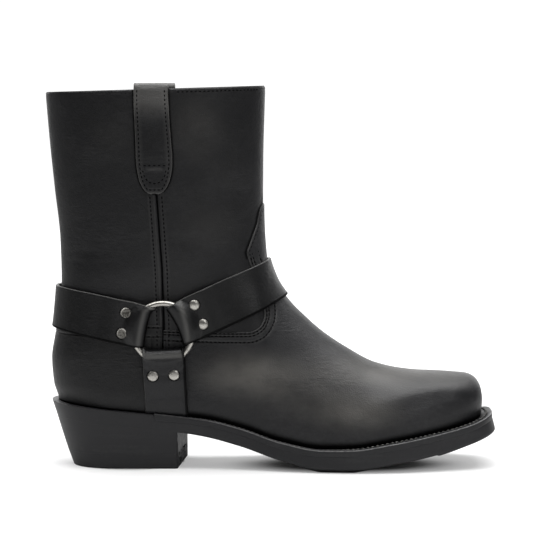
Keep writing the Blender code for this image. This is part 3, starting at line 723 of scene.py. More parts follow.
def tabMiddle(z, side):
    lean = np.where(np.asarray(side) < 0, tabShape["lean"], tabShape["farLean"])
    return tabShape["x"] + lean * softStep((np.asarray(z, float) - 205) / 58)


def tabOutside(x, z, side):
    # millimetres outside the pull tab's outline
    return np.maximum(np.abs(x - tabMiddle(z, side)) - tabReach(z), tabShape["tipZ"] - z)


def baseShade(x, z):
    # painted shade: the dark band where the leather goes down behind the welt
    reach = np.interp(x, [-75, -55], [1.7, 5.6])
    return 0.95 * softStep((reach - (z - feather(x))) / (0.76 * reach))


shaftLeather = startSkin("shaftLeather", 300, 108, 0.38, 1.0)
cutSkin(shaftLeather, shaftInside, [0.0])
seamLevels = [-4.6, -4.0, -3.4, -2.4, -1.6, -0.8, -0.1, 0.4, 0.75, 1.1, 1.7, 3.6, 4.2, 4.8]
cutSkin(shaftLeather, seamOffset, seamLevels, False)
cutSkin(shaftLeather, lambda x, z, side: z - upperShape["collarZ"] + 4, [0.0, 1.2, 2.2, 3.0, 3.6], False)
cutSkin(shaftLeather, tabOutside, [-0.3, 0.2, 0.7, 1.3, 2.0], False)
cutSkin(shaftLeather, vampInside, [-2.4, -1.6, -0.9, -0.3], False)
x, z, side = laySkin(shaftLeather, lambda x, z, side, v: seamRelief(x, z, side) + collarRoll(v))
ahead = seamOffset(x, z, side)
# painted shade in the seam's gap, round the pull tab and along the vamp's edge above its stitches
shaftShade = 0.95 * band(ahead, 0.75, 0.5) * (z < seamLine["topZ"])
shaftShade = np.maximum(shaftShade, 0.85 * band(tabOutside(x, z, side), 0.4, 0.75))
shaftShade = np.maximum(shaftShade, 0.85 * band(vampInside(x, z, side), -0.7, 0.75) * (z > vampCut["sewnTopZ"]))
setAttribute(shaftLeather, "paintedShade", shaftShade)
# painted highlight on the seam's bead and beside its stitches
seamHighlight = 0.22 * band(ahead, -1.5, 0.8) + 0.14 * shoulders(ahead, seamLine["rows"])
setAttribute(shaftLeather, "edge", seamHighlight * (z < seamLine["topZ"]))
mergeDoubles(shaftLeather)
thicken(shaftLeather, shaftCut["wall"], -1)
shadeRound(shaftLeather, 60)


def panelLift(inside, cut):
    def lift(x, z, side, v):
        d = inside(x, z, side)
        sewnHere = z < vampCut["sewnTopZ"]
        return cut["thickness"] * edgeRoll(d, 0.8) - 0.35 * groove(d, cut["rows"]) * sewnHere

    return lift


def cutPanel(name, inside, cut, sewnLine, columns, rows, highV):
    piece = startSkin(name, columns, rows, 0.0, highV)
    levels = [0.0, 0.2, 0.5, 0.9]
    for row in cut["rows"]:
        levels += [row - 1.0, row - 0.5, row, row + 0.5, row + 1.0]
    cutSkin(piece, inside, levels)
    cutSkin(piece, lambda x, z, side: z - feather(x), [0.5, 1.2, 2.0, 3.2, 4.5], False)
    x, z, side = laySkin(piece, panelLift(inside, cut))
    d = lineDistance(x, z, sewnLine)
    sewnHere = z < vampCut["sewnTopZ"]
    setAttribute(piece, "edge", 0.35 * band(d, 0.0, 0.45) + 0.16 * shoulders(d, cut["rows"]) * sewnHere)
    # painted shade in the stitch grooves and down at the welt
    setAttribute(piece, "paintedShade", np.maximum(0.5 * groove(d, cut["rows"], 0.4) * sewnHere, baseShade(x, z)))
    mergeDoubles(piece)
    thicken(piece, cut["thickness"] + 0.6, -1)
    shadeRound(piece, 60)
    return piece


vampLeather = cutPanel("vampLeather", vampInside, vampCut, vampLine, 300, 150, 0.8)
counterLeather = cutPanel("counterLeather", counterInside, counterCut, counterCut["edge"], 300, 90, 0.5)

# painted sheen patches on the vamp and toe: middle, size and strength of each
vampSheen = [
    ((32, -45, 58), (84, 75, 33), 0.45),
    ((-16, -45, 67), (52, 60, 23), 0.95),
    ((60, -50, 40), (46, 40, 18), 0.7),
    ((96, -20, 68), (84, 60, 17), 0.65),
]
# painted sheen patches on the shaft
shaftSheen = [
    ((-50, -45, 236), (26, 70, 32), 0.26),
    ((-44, -45, 168), (34, 70, 24), 0.12),
    ((-106, -45, 230), (30, 70, 30), 0.08),
    ((-26, -45, 205), (24, 70, 20), 0.06),
]


farSheen = {"y": 48, "depth": 42, "share": 0.7}


def bothSides(sheenPatches):
    # the medial side gets the same painted sheen, a little weaker
    other = []
    for (x, _, z), (length, _, height), strength in sheenPatches:
        size = (length, farSheen["depth"], height)
        other.append(((x, farSheen["y"], z), size, farSheen["share"] * strength))
    return sheenPatches + other


# the shaft and counter copies are toned down: painted shade
shaftSkin = leatherMaterial("shaft leather", bothSides(shaftSheen), tone=0.66)
counterSkin = leatherMaterial("counter leather", tone=0.35)
vampSkin = leatherMaterial("vamp leather", bothSides(vampSheen[:3]) + vampSheen[3:])
finishPiece(shaftLeather, shaftSkin, ["upper", "seam_lateral", "seam_medial"])
finishPiece(vampLeather, vampSkin, ["vamp"])
finishPiece(counterLeather, counterSkin, ["counter"])
for piece in (shaftLeather, vampLeather, counterLeather):
    print(piece.name, sum(len(face.vertices) - 2 for face in piece.data.polygons), "triangles")


# Sole, welt and heel

def gridLoft(name, rings):
    # a grid laid over closed rings of places, each ring one row of it
    rings = np.asarray(rings, float)
    rings = np.concatenate([rings, rings[:, :1]], 1)
    count, around = rings.shape[:2]
    piece = addGrid(name, around - 1, count - 1)
    flat = getPlaces(piece)
    column = np.rint((flat[:, 0] + 0.5) * (around - 1)).astype(int)
    row = np.rint((flat[:, 1] + 0.5) * (count - 1)).astype(int)
    places = rings[row, column]
    setPlaces(piece, places[:, 0], places[:, 1], places[:, 2])
    return piece, row, column


soleShape = {
    "heelX": -153.4,
    "toeX": 155.3,
    "heelCap": 37.0,
    "heelPower": 2.2,
    "toeCap": 24.0,
    "toePower": 3.2,
    "toeFlare": 3.3,
    "sideFlare": 1.0,
    "seatSlant": 3.4,
    "treadEnd": 116.0,
    "treadStep": 0.8,
    "edgeRound": 1.8,
}
weltShape = {
    "thickness": 4.2,
    "startX": -80.0,
    "reach": 9.6,
    "stitch": 4.1,
    "endRise": 0.9,
    "endLength": 30,
}
heelShape = {
    "lift": 10.5,
    "breastX": -64.0,
    "breastSkew": 4.8,
    "footX": -138.4,
    "footWidth": 32.0,
    "footCap": 33.0,
}


def planLine(heel, toe, grow):
    shape = soleShape
    back = shape["heelX"] - heel
    front = shape["toeX"] + toe
    quarter = np.linspace(0, np.pi / 2, 34)
    heelX = back + shape["heelCap"] * (1 - np.cos(quarter) ** (2 / shape["heelPower"]))
    heelK = np.sin(quarter) ** (2 / shape["heelPower"])
    toeX = front - shape["toeCap"] * (1 - np.sin(quarter) ** (2 / shape["toePower"]))
    toeK = np.cos(quarter) ** (2 / shape["toePower"])
    edge = weltShape["startX"]
    middle = [np.linspace(-115.0, edge - 0.5, 22), np.linspace(edge, 130.0, 140)]
    x = np.concatenate([heelX, *middle, toeX])
    k = np.concatenate([heelK, np.ones(162), toeK])
    order = np.argsort(x, kind="stable")
    x = x[order]
    k = k[order]
    wide = grow(x)
    return x, -(soleWidth(x, lateral) + wide) * k, (soleWidth(x, medial) + wide) * k


def planRing(outline, height, squeeze=1.0):
    x, low, high = outline
    middle = (low + high) / 2
    near = np.stack([x, middle + (low - middle) * squeeze, height(x, low)], 1)
    far = np.stack([x, middle + (high - middle) * squeeze, height(x, high)], 1)
    return np.concatenate([near, far[::-1][1:-1]])


def edgeFlare(x):
    places = [soleShape["heelX"], heelShape["breastX"], 0.0]
    return np.interp(x, places, [-0.9, -0.9, soleShape["sideFlare"]])


def outsoleTop(x, y):
    under = softStep((x - weltShape["startX"] + 0.4) / 0.4) * (weltShape["thickness"] + 0.02)
    return sole(x, "top") - under


def outsoleUnder(x, y):
    return sole(x, "under") - soleShape["treadStep"] * softStep((x - soleShape["treadEnd"] + 0.6) / 1.2)


def treadUnder(x, y, deep=0.9):
    # stands on the floor under the ball, with shallow grooves across
    ball = np.interp(x, [4, 8, 22, 34, 58, 74, 90, 94], [60, 8, 2.6, 0, 0, 2.8, 7, 60])
    low = np.minimum(outsoleUnder(x, y), ball)
    wave = np.clip(np.sin(x * 2 * np.pi / 7.5) * 3 - 2, 0, 1)
    return low + deep * wave * softStep((x - 22) / 6) * softStep((soleShape["treadEnd"] - 8 - x) / 4)


def soleRing(share, inset, height, squeeze=1.0, ease=0.0):
    # ease takes the lower edge in ahead of the heel, where it shows
    shape = soleShape
    toe = (0.25 + 0.75 * share) * shape["toeFlare"] - inset - ease
    heel = -share * shape["seatSlant"] - inset

    def grow(x):
        ahead = softStep((x - heelShape["breastX"] - 1) / 4)
        return (0.25 + 0.75 * share) * edgeFlare(x) - inset - ease * ahead

    return planRing(planLine(heel, toe, grow), height, squeeze)


def between(share):
    return lambda x, y: outsoleTop(x, y) + share * (outsoleUnder(x, y) - outsoleTop(x, y))


outsoleRings = [soleRing(0, 5, outsoleTop, squeeze) for squeeze in (0.0, 0.5, 0.9)]
outsoleRings += [soleRing(0, 0.3, outsoleTop), soleRing(0.01, 0.05, between(0.01))]
outsoleRings += [soleRing(share, 0.0, between(share)) for share in (0.04, 0.2, 0.4, 0.6, 0.75)]
for turn in (0.2, 0.4, 0.6, 0.8, 0.92, 1.0):
    # a rounded lower edge
    share = 0.8 + 0.2 * math.sin(math.pi / 2 * turn)
    ease = soleShape["edgeRound"] * (1 - math.cos(math.pi / 2 * turn))
    outsoleRings.append(soleRing(share, 0.0, between(share), 1.0, ease))
outsoleRings += [soleRing(1, 5, outsoleUnder), soleRing(1, 5.2, lambda x, y: treadUnder(x, y, 0))]
outsoleRings += [soleRing(1, 5.2, treadUnder, squeeze) for squeeze in (0.9, 0.75, 0.5, 0.25, 0.0)]
outsoleEdge, row, _ = gridLoft("outsoleEdge", outsoleRings)
# painted highlight along the sole's top edge round the back of the heel seat
backEdge = softStep((-138 - getPlaces(outsoleEdge)[:, 0] / mm + shiftX) / 12)
setAttribute(outsoleEdge, "edge", np.isin(row, (2, 3, 4)) * 0.75 * backEdge)
closeUp(outsoleEdge, 40)

# the welt's section: distance in from the sole's edge, depth below the welt's top
weltGroove = [(0.9, 0.0), (0.4, 0.35), (-0.4, 0.35), (-0.9, 0.0)]
weltSection = [
    (weltShape["reach"], 0.0), (6.6, 0.0), *((weltShape["stitch"] + out, deep) for out, deep in weltGroove),
    (1.2, 0.0), (0.55, 0.08), (0.15, 0.35), (0.0, 0.8), (0.0, 2.0), (0.0, 3.4), (0.0, 4.1),
    *((inward, weltShape["thickness"]) for inward in (0.05, 1.0, weltShape["reach"])),
]


def weltLine(reach, depth):
    toe = 0.25 * soleShape["toeFlare"] - reach
    x, low, high = planLine(-reach, toe, lambda x: 0.25 * edgeFlare(x) - reach)
    keep = np.nonzero(x >= weltShape["startX"] - 0.01)[0]
    x, low, high = x[keep], low[keep], high[keep]
    # its ends stand a little above the heel seat
    rise = weltShape["endRise"] * (1 - depth / weltShape["thickness"])
    z = sole(x, "top") - depth + rise * (1 - softStep((x - weltShape["startX"]) / weltShape["endLength"]))
    near = np.stack([x, low, z], 1)
    far = np.stack([x, high, z], 1)
    return np.concatenate([near, far[::-1][1:]])


def evenLine(line, count):
    # the same path with evenly spaced places
    along = chordLength(line)
    at = np.linspace(0, along[-1], count)
    return np.stack([np.interp(at, along, column) for column in line.T], 1)


weltRows = np.stack([evenLine(weltLine(*point), 420) for point in weltSection], 1)
ends = weltRows.mean(1, keepdims=True) + 0 * weltRows
weltRows = np.concatenate([ends[:1], weltRows, ends[-1:]])
weltStrip, _, column = gridLoft("weltStrip", weltRows)
# the outer top edge is rubbed pale, with a painted highlight where it catches the light
paleAndPaintedLight = np.zeros(len(weltSection) + 1)
paleAndPaintedLight[[7, 8]] = (0.9, 0.9)
ahead = softStep((getPlaces(weltStrip)[:, 0] / mm - shiftX + 62) / 30)
setAttribute(weltStrip, "edge", paleAndPaintedLight[column] * (0.25 + 0.75 * ahead))
closeUp(weltStrip, 35)


def heelRing(share, height, inset=0.0, squeeze=1.0):
    shape = heelShape
    quarter = np.linspace(0, np.pi / 2, 34)
    seatX = soleShape["heelX"] + soleShape["seatSlant"]
    start = seatX + share * (shape["footX"] - seatX) + inset
    cap = soleShape["heelCap"] + share * (shape["footCap"] - soleShape["heelCap"])
    x = start + cap * (1 - np.cos(quarter) ** (2 / soleShape["heelPower"]))
    k = np.sin(quarter) ** (2 / soleShape["heelPower"])
    ahead = np.array([0.1, 0.25, 0.4, 0.55, 0.7, 0.82, 0.91, 0.96, 0.985, 1.0])
    corner = np.array([0, 0, 0, 0, 0, 0, 0, 0.15, 0.45, 1.2])
    halves = []
    for side in (lateral, medial):
        breast = shape["breastX"] + (shape["breastSkew"] if side == medial else 0) - inset
        at = np.concatenate([x, x[-1] + ahead * (breast - x[-1])])
        seat = soleWidth(at, side) + edgeFlare(at)
        width = (seat + share * (shape["footWidth"] - seat) - inset) * np.concatenate([k, np.ones(10)])
        width[-10:] -= corner
        y = side * width
        front = np.linspace(1, 0, 8)[1:]
        at = np.concatenate([at, np.full(7, breast)])
        y = np.concatenate([y, side * width[-1] * front])
        middle = shape["breastX"] + shape["breastSkew"] / 2 - inset
        at[-7:] = breast + (middle - breast) * (1 - front)
        halves.append(np.stack([at, y * squeeze, height(at)], 1))
    return np.concatenate([halves[0], halves[1][::-1][1:-1]])


def breastFace(column):
    # the columns of a heel ring that lie on its front face
    return ((column >= 44) & (column <= 56)).astype(float)


def seatZ(x):
    return sole(x, "under") - 0.01


liftShare = 1 - heelShape["lift"] / float(sole(-115.0, "under"))


def heelLevel(share):
    return lambda x: seatZ(x) + share / liftShare * (heelShape["lift"] + 0.02 - seatZ(x))


heelRings = [heelRing(0, seatZ, 1.0, squeeze) for squeeze in (0.0, 0.5, 0.96)]
heelRings += [heelRing(0, seatZ, 0.0), heelRing(0.015, heelLevel(0.015), 0.0)]
heelRings += [heelRing(share, heelLevel(share)) for share in np.linspace(0.1, liftShare - 0.06, 5)]
heelRings += [heelRing(liftShare, heelLevel(liftShare))]
heelRings += [heelRing(liftShare, heelLevel(liftShare), 1.0, squeeze) for squeeze in (0.96, 0.5, 0.0)]
heelStack, _, column = gridLoft("heelStack", heelRings)
# painted shade on the breast
setAttribute(heelStack, "edge", 0.05 * breastFace(column))
setAttribute(heelStack, "paintedShade", 0.38 * breastFace(column))


def liftLevel(z):
    return lambda x: z + 0 * x


def liftRing(z, inset=0.0, squeeze=1.0):
    share = 1 - z / heelShape["lift"] * (1 - liftShare)
    return heelRing(share, liftLevel(z), inset, squeeze)


liftTop = heelShape["lift"] - 0.02
liftRings = [liftRing(liftTop, 1.0, squeeze) for squeeze in (0.0, 0.5, 0.96)]
liftRings += [liftRing(liftTop), liftRing(5.0), liftRing(0.9), liftRing(0.2), liftRing(0.0, 0.15)]
liftRings += [liftRing(0.0, 1.5, squeeze) for squeeze in (0.96, 0.5, 0.0)]
heelLift, row, column = gridLoft("heelLift", liftRings)
# painted contact shadow where it meets the floor
foot = np.interp(row, [5, 6, 7], [0.0, 0.9, 0.9])
setAttribute(heelLift, "paintedShade", np.maximum(0.85 * breastFace(column), foot))
for piece in (heelStack, heelLift):
    closeUp(piece, 40)

soleLook = {
    "dark": (0.0145, 0.0145, 0.016, 1),
    "dust": (0.041, 0.0405, 0.041, 1),
    "paleAndPaintedLight": (0.155, 0.155, 0.156, 1),
    "breast": (0.006, 0.006, 0.006, 1),
    "roughness": 0.5,
    "streakScale": 260.0,
}


def soleMaterial(name, dusty=0.5):
    look = soleLook
    material, shader, place = newMaterial(name, look["dark"][:3], look["roughness"])
    shader.inputs["Specular IOR Level"].default_value = 0.4
    streak = place.noise(look["streakScale"], 3.0, (0.05, 0.05, 1.0))
    speck = place.noise(420.0, 3.0)
    cloud = place.noise(22.0, 3.0)
    dust = (streak - 0.45) * 1.1 + (cloud - 0.5) * 0.9 + (speck - 0.5) * 0.5
    colour = (dust.between(0.05, 0.7) * dusty).tint(look["dark"], look["dust"])
    rim = place.attribute("edge") * (0.55 + 0.45 * speck.between(0.3, 0.6))
    feed(shader, "Base Color", rim.tint(colour, look["paleAndPaintedLight"]))
    feed(shader, "Roughness", look["roughness"] + (cloud - 0.5) * 0.3 + (streak - 0.5) * 0.2)
    # painted shade on the breast, broken into dark specks
    rough = place.attribute("paintedShade") * (0.45 + 0.9 * speck.between(0.4, 0.6))
    paintShade(material, shader, rough, look["breast"])
    feed(shader, "Normal", bump(streak * 0.8 + speck * 0.4, 0.2, 0.3))
    return material


soleEdgeFinish = soleMaterial("sole edge")
heelFinish = soleMaterial("heel stack", 0.6)
finishPiece(outsoleEdge, soleEdgeFinish, ["outsole"])
finishPiece(weltStrip, soleEdgeFinish, ["welt"])
finishPiece(heelStack, heelFinish, ["heel_block"])
finishPiece(heelLift, heelFinish, ["heel_lift"])
print("sole, welt and heel made")


# Harness: rings, straps and rivets

harness = {
    "ringX": -73.6,
    "ringZ": 95.7,
    "ringRadius": 20.3,
    "ringLean": 0.96,
    "wire": 2.1,
    "gap": 0.3,
    "thickness": 2.1,
    "width": {"front": 31.2, "back": 30.8, "under": 29.3},
    "taper": {"front": 2.6, "back": 2.0, "under": 0.0},
    "sag": {"front": 0.3, "back": 1.0, "under": 0.0},
    "foldWidth": 28.0,
    "clear": 1.7,
    "bridge": {"front": -0.5, "back": 0.3},
    "reach": {"front": 9.6, "back": 10.9, "under": 11.2},
    "shift": {"front": -0.4, "back": -1.2, "under": 0.5},
    "rivetShift": {"front": -1.2, "back": -1.2, "under": 1.25},
    "rivetAlong": {"front": 27.7, "back": 27.7, "under": 29.7},
    "returnEnd": 34.5,
    "roll": {"front": 5.4, "back": 5.4, "under": 3.2},
    "bow": {"front": 1.7, "back": 0.9, "under": 0.6},
    "drop": {"front": 9.0, "back": 9.0, "under": 10.5},
    # the next four place a painted highlight along each strap's roll: where it lies, its tilt, its strength
    # and its width
    "worn": {"front": 6.0, "back": 3.6, "under": 3.3},
    "rollHighlightTilt": {"front": -0.2, "back": 0.0, "under": 0.0},
    "rollHighlight": {"front": 0.5, "back": 0.42, "under": 0.55},
    "rollHighlightWidth": {"front": 1.7, "back": 1.4, "under": 2.1},
    "dip": 0.7,
    "doubleEnd": 33.0,
    "singleStart": 46.0,
    "rivetSpacing": 14.6,
    "rivetRadius": 3.8,
    "rivetHeight": 1.75,
    "front": math.radians(24.4),
    "back": math.radians(168.6),
    "under": math.radians(-87.2),
    "edgeRound": 0.8,
}
edgeShare = 2 * harness["edgeRound"] / harness["width"]["front"]


def ringPlane(side):
    span = harness["ringRadius"]
    x0 = harness["ringX"]
    z0 = harness["ringZ"]
    slopeX = (halfWidth(x0 + span, z0, side, True) - halfWidth(x0 - span, z0, side, True)) / (2 * span)
    slopeZ = (halfWidth(x0, z0 + span, side, True) - halfWidth(x0, z0 - span, side, True)) / (2 * span)
    angle = np.linspace(0, 2 * np.pi, 48)
    x = x0 + span * np.cos(angle)
    z = z0 + span * np.sin(angle)
    over = halfWidth(x, z, side, True) - slopeX * (x - x0) - slopeZ * (z - z0)
    stack = harness["clear"] + harness["thickness"] + harness["wire"] + 2 * harness["gap"]
    height = float(over.max()) + stack
    normal = Vector((-slopeX, side, -slopeZ)).normalized()
    centre = Vector((x0, side * height, z0))
    return centre, normal, lambda atX, atZ: height + slopeX * (atX - x0) + slopeZ * (atZ - z0)


def strapPlace(angle, across, along):
    heading = np.array([math.cos(angle), math.sin(angle)])
    sideways = np.array([heading[1], -heading[0]])
    if heading[0] < 0:
        sideways = -sideways
    x = harness["ringX"] + across * sideways[0] + along * heading[0]
    z = harness["ringZ"] + across * sideways[1] + along * heading[1]
    return x, z, heading


def strapPoint(angle, across, along, lift, side):
    reach = 1.5
    x, z, heading = strapPlace(angle, across, along)
    width = halfWidth(x, z, side, True)
    before = halfWidth(*strapPlace(angle, across, along - reach)[:2], side, True)
    after = halfWidth(*strapPlace(angle, across, along + reach)[:2], side, True)
    slope = (after - before) / (2 * reach)
    scale = 1 / np.sqrt(1 + slope * slope)
    shift = -slope * scale * lift
    return np.stack([x + shift * heading[0], side * (width + scale * lift), z + shift * heading[1]], -1)


ringPlanes = {side: ringPlane(side) for side in (lateral, medial)}
singleLift = harness["clear"] + harness["thickness"] / 2


def strapAcross(word, share, along):
    # narrower round the ring, and narrower and hanging a little where it leaves the side
    far = softStep((along - harness["singleStart"]) / 46)
    widths = [harness["foldWidth"], harness["width"][word]]
    wide = np.interp(along, [8.0, harness["ringRadius"] + 3], widths) - harness["taper"][word] * far
    return harness["shift"][word] + harness["sag"][word] * far + share * wide / 2


def strapRise(word, across, along, side):
    # the outer layer's height: over the ring, then two layers at the rivets, then one
    along = np.asarray(along, float)
    x, z, _ = strapPlace(harness[word], across, along)
    over = ringPlanes[side][2](x, z) - halfWidth(x, z, side, True)
    over = over + harness["wire"] + harness["gap"] + harness["thickness"] / 2
    double = singleLift + harness["thickness"] + harness["gap"]
    wire = np.sqrt(np.maximum((harness["ringRadius"] * harness["ringLean"]) ** 2 - across ** 2, 150.0))
    down = softStep((along - wire) / harness["drop"][word])
    thin = softStep((along - harness["doubleEnd"]) / (harness["singleStart"] - harness["doubleEnd"]))
    return over + (double - over) * down + (singleLift - double) * thin


def foldPath(word, share, side):
    # along and lift of one fibre: its hidden return, the fold round the ring, and the outer layer
    reach = harness["reach"][word]
    inner = harness["ringRadius"] * harness["ringLean"] - harness["wire"]
    across = strapAcross(word, share, reach)
    room = math.sqrt(max(inner ** 2 - across ** 2, 40.0)) - harness["thickness"] - harness["gap"]
    edge = min(reach + harness["bow"][word] * (0.5 - (across / 14) ** 2), room + 1.2)
    low = singleLift
    roll = harness["roll"][word]
    turn = edge + harness["thickness"] / 2 + roll
    high = float(strapRise(word, across, turn, side))
    radius = (high - low) / 2
    path = [(along, low) for along in (harness["returnEnd"], 30.0, 26.0, 22.0, 20.0)]
    for step in range(13):
        around = math.pi * step / 12
        path.append((turn - roll * math.sin(around), low + radius * (1 - math.cos(around))))
    outer = np.linspace(turn + 1.0, harness["singleStart"], 28)
    dip = harness["dip"] * band(outer - turn, 1.9, 1.2) * (word == "under")
    path += list(zip(outer, strapRise(word, strapAcross(word, share, outer), outer, side) - dip))
    return path + [(harness["singleStart"] + 1, low)]


def strapEnd(angle, across):
    along = np.linspace(40, 110, 1401)
    x, z, _ = strapPlace(angle, across, along)
    return along[np.argmax(halfWidth(x, z, lateral, True) <= 0)]


def softenPath(points, times):
    # corners of a path rounded by cutting them back
    points = np.asarray(points, float)
    for _ in range(times):
        near = 0.75 * points[:-1] + 0.25 * points[1:]
        far = 0.25 * points[:-1] + 0.75 * points[1:]
        middle = np.stack([near, far], 1).reshape(-1, points.shape[1])
        points = np.concatenate([points[:1], middle, points[-1:]])
    return points


def strapShares():
    # places across a strap, closer at its rounded edges
    turn = np.linspace(0, np.pi / 2, 6)
    edge = 1 - edgeShare * (1 - np.sin(turn[::-1]))
    inner = np.linspace(-1 + 1.8 * edgeShare, 1 - 1.8 * edgeShare, 11)
    inner = np.concatenate([inner[:1], [-0.87], inner[1:-1], [0.87], inner[-1:]])
    return np.concatenate([-edge, inner, edge[::-1]])


def edgeHeight(share):
    # half-thickness of a strap by its place across, 0 at its very edge
    t = np.clip((np.abs(share) - 1 + edgeShare) / edgeShare, 0, 1)
    return np.sqrt(1 - t * t)


def wrapSection(middle, shares, thickness):
    # rings round a strap from the middle places of its fibres, rows by fibres
    alongWay = np.gradient(middle, axis=0)
    acrossWay = np.gradient(middle, axis=1)
    normal = np.cross(alongWay, acrossWay)
    normal /= np.maximum(np.linalg.norm(normal, axis=2, keepdims=True), 1e-9)
    high = (edgeHeight(shares) * thickness / 2)[None, :, None]
    top = middle + normal * high
    under = middle - normal * high
    rings = np.concatenate([top, under[:, ::-1][:, 1:-1]], 1)
    ends = np.concatenate([middle, middle[:, ::-1][:, 1:-1]], 1)
    return np.concatenate([ends[:1], rings, ends[-1:]])


def strapSolid(name, fibres, worn, shares, shaded, outerFirst):
    middle = np.stack(fibres, 1)
    rings = wrapSection(middle, shares, harness["thickness"])
    piece, row, column = gridLoft(name, rings)
    order = np.arange(len(shares))
    fibre = np.concatenate([order, order[::-1][1:-1], order[:1]])[column]
    share = shares[fibre]
    worn = np.stack(worn, 1)
    showing = (column < len(shares)) == outerFirst
    outer = np.where(showing, worn[np.clip(row - 1, 0, len(worn) - 1), fibre], 0)
    # the cut edges are pale, except the lower edge, which gets painted shade instead
    lower = share * np.sign(shaded)
    rim = 0.65 * (1 - edgeHeight(share)) ** 0.7 * np.where(lower > 0, 1 - abs(shaded), 1)
    setAttribute(piece, "edge", rim + np.clip(outer, 0, 1))
    shade = abs(shaded) * softStep((lower - 0.86) / 0.045)
    setAttribute(piece, "paintedShade", np.maximum(0.7 * np.clip(-outer, 0, 1), shade))
    closeUp(piece, 60, 0.005)
    return piece


def fibrePoints(word, share, path, side):
    # places of a fibre, with a painted highlight where it rolls over the ring and painted shade inside the
    # fold
    path = softenPath(path, 2)
    across = strapAcross(word, share, path[:, 0])
    turn = np.argmin(path[:, 0])
    out = path[:, 0] - path[turn, 0]
    worn = harness["worn"][word] + harness["rollHighlightTilt"][word] * across
    paleAndPaintedLight = harness["rollHighlight"][word] * band(out, worn, harness["rollHighlightWidth"][word]) - 1 + softStep(out / 2.4)
    paleAndPaintedLight[:turn] = -1
    return strapPoint(harness[word], across, path[:, 0], path[:, 1], side), paleAndPaintedLight


def longStrap(name, word):
    fibres = []
    worn = []
    shares = strapShares()
    start = harness["singleStart"] + 1
    for share in shares:
        across = strapAcross(word, share, start + 46)
        last = strapEnd(harness[word], across)
        bridge = harness["bridge"][word]
        rest = []
        for gone in (0.15, 0.3, 0.45, 0.58, 0.7, 0.8, 0.88, 0.94, 0.98):
            rest.append((start + (last - start) * math.sin(math.pi / 2 * gone), singleLift + bridge * gone))
        x, z, _ = strapPlace(harness[word], across, last + singleLift + bridge)
        near, nearWorn = fibrePoints(word, share, foldPath(word, share, lateral) + rest, lateral)
        far, farWorn = fibrePoints(word, share, foldPath(word, share, medial) + rest, medial)
        fibres.append(np.concatenate([near, [[x, 0.0, z]], far[::-1]]))
        worn.append(np.concatenate([nearWorn, [0.0], farWorn[::-1]]))
    return strapSolid(name, fibres, worn, shares, 0.8, word == "back")


def underStrap(name, side):
    fibres = []
    worn = []
    shares = strapShares()
    for share in shares:
        path = foldPath("under", share, side)
        start, lift = path[-1]
        across = strapAcross("under", share, start)
        x, z, _ = strapPlace(harness["under"], across, start)
        last = start + float(z - feather(x)) - 0.4
        tuckIn = (0.0, 0.0, -0.5, -1.4)
        for gone, tuck in zip((0.4, 0.7, 0.9, 1.0), tuckIn):
            path.append((start + (last - start) * gone, lift + tuck))
        places, paleAndPaintedLight = fibrePoints("under", share, path, side)
        fibres.append(places)
        worn.append(paleAndPaintedLight)
    return strapSolid(name, fibres, worn, shares, -0.8, side == medial)


# the strap copy is toned down: painted shade
strapSkin = leatherMaterial("strap leather", gloss=0.05, tone=0.3, cut="strapCut")
underSkin = leatherMaterial("under strap leather", gloss=0.05, cut="strapCut")
finishPiece(longStrap("strapFront", "front"), strapSkin, ["strap_front"])
finishPiece(longStrap("strapBack", "back"), strapSkin, ["strap_back"])
finishPiece(underStrap("strapUnderLateral", lateral), underSkin, ["strap_under_lateral"])
finishPiece(underStrap("strapUnderMedial", medial), underSkin, ["strap_under_medial"])

nickelLook = {"bright": (0.5, 0.485, 0.45, 1), "tarnishAndShade": (0.11, 0.105, 0.095, 1), "roughness": 0.3}


def nickelMaterial(name, tarnishAndShade):
    look = nickelLook
    material, shader, place = newMaterial(name, look["bright"][:3], look["roughness"], 1.0)
    stain = place.noise(700.0, 4.0, (1, 1, 1), 0.65)
    cloud = place.noise(160.0, 2.0)
    # tarnish, and painted shade on the back rivets and down every rivet's side, darken the nickel
    share = ((stain - 0.42) * 2.2 + (cloud - 0.5)).between(0.1, 0.9) * tarnishAndShade + place.attribute("edge")
    feed(shader, "Base Color", share.tint(look["bright"], look["tarnishAndShade"]))
    feed(shader, "Roughness", look["roughness"] + share * 0.3 + (cloud - 0.5) * 0.1)
    feed(shader, "Normal", bump(stain, 0.15, 0.2))
    paintShade(material, shader, place.attribute("paintedShade"), (0.001, 0.001, 0.001, 1))
    return material


ringFinish = nickelMaterial("ring nickel", 0.35)
# the back rivets get a darker copy: painted shade
rivetFinish = {
    "front": nickelMaterial("rivet nickel", 0.8),
    "under": nickelMaterial("rivet nickel low", 0.95),
    "back": nickelMaterial("rivet nickel dull", 1.7),
}


def moveInto(piece, seat, normal):
    # turns a piece made round the z axis to a place on the boot, with its place in its mesh
    turn = normal.to_track_quat("Z", "Y").to_matrix()
    places = getPlaces(piece) @ np.array(turn).T / mm + np.array(seat)
    setPlaces(piece, places[:, 0], places[:, 1], places[:, 2])


for side, word in ((lateral, "Lateral"), (medial, "Medial")):
    centre, normal, _ = ringPlanes[side]
    bpy.ops.mesh.primitive_torus_add(
        major_segments=120,
        minor_segments=24,
        major_radius=harness["ringRadius"] * mm,
        minor_radius=harness["wire"] * mm,
    )
    ring = rename("ring" + word)
    moveInto(ring, centre, normal)
    shadeRound(ring, 60)
    finishPiece(ring, ringFinish, ["ring_" + word.lower()])


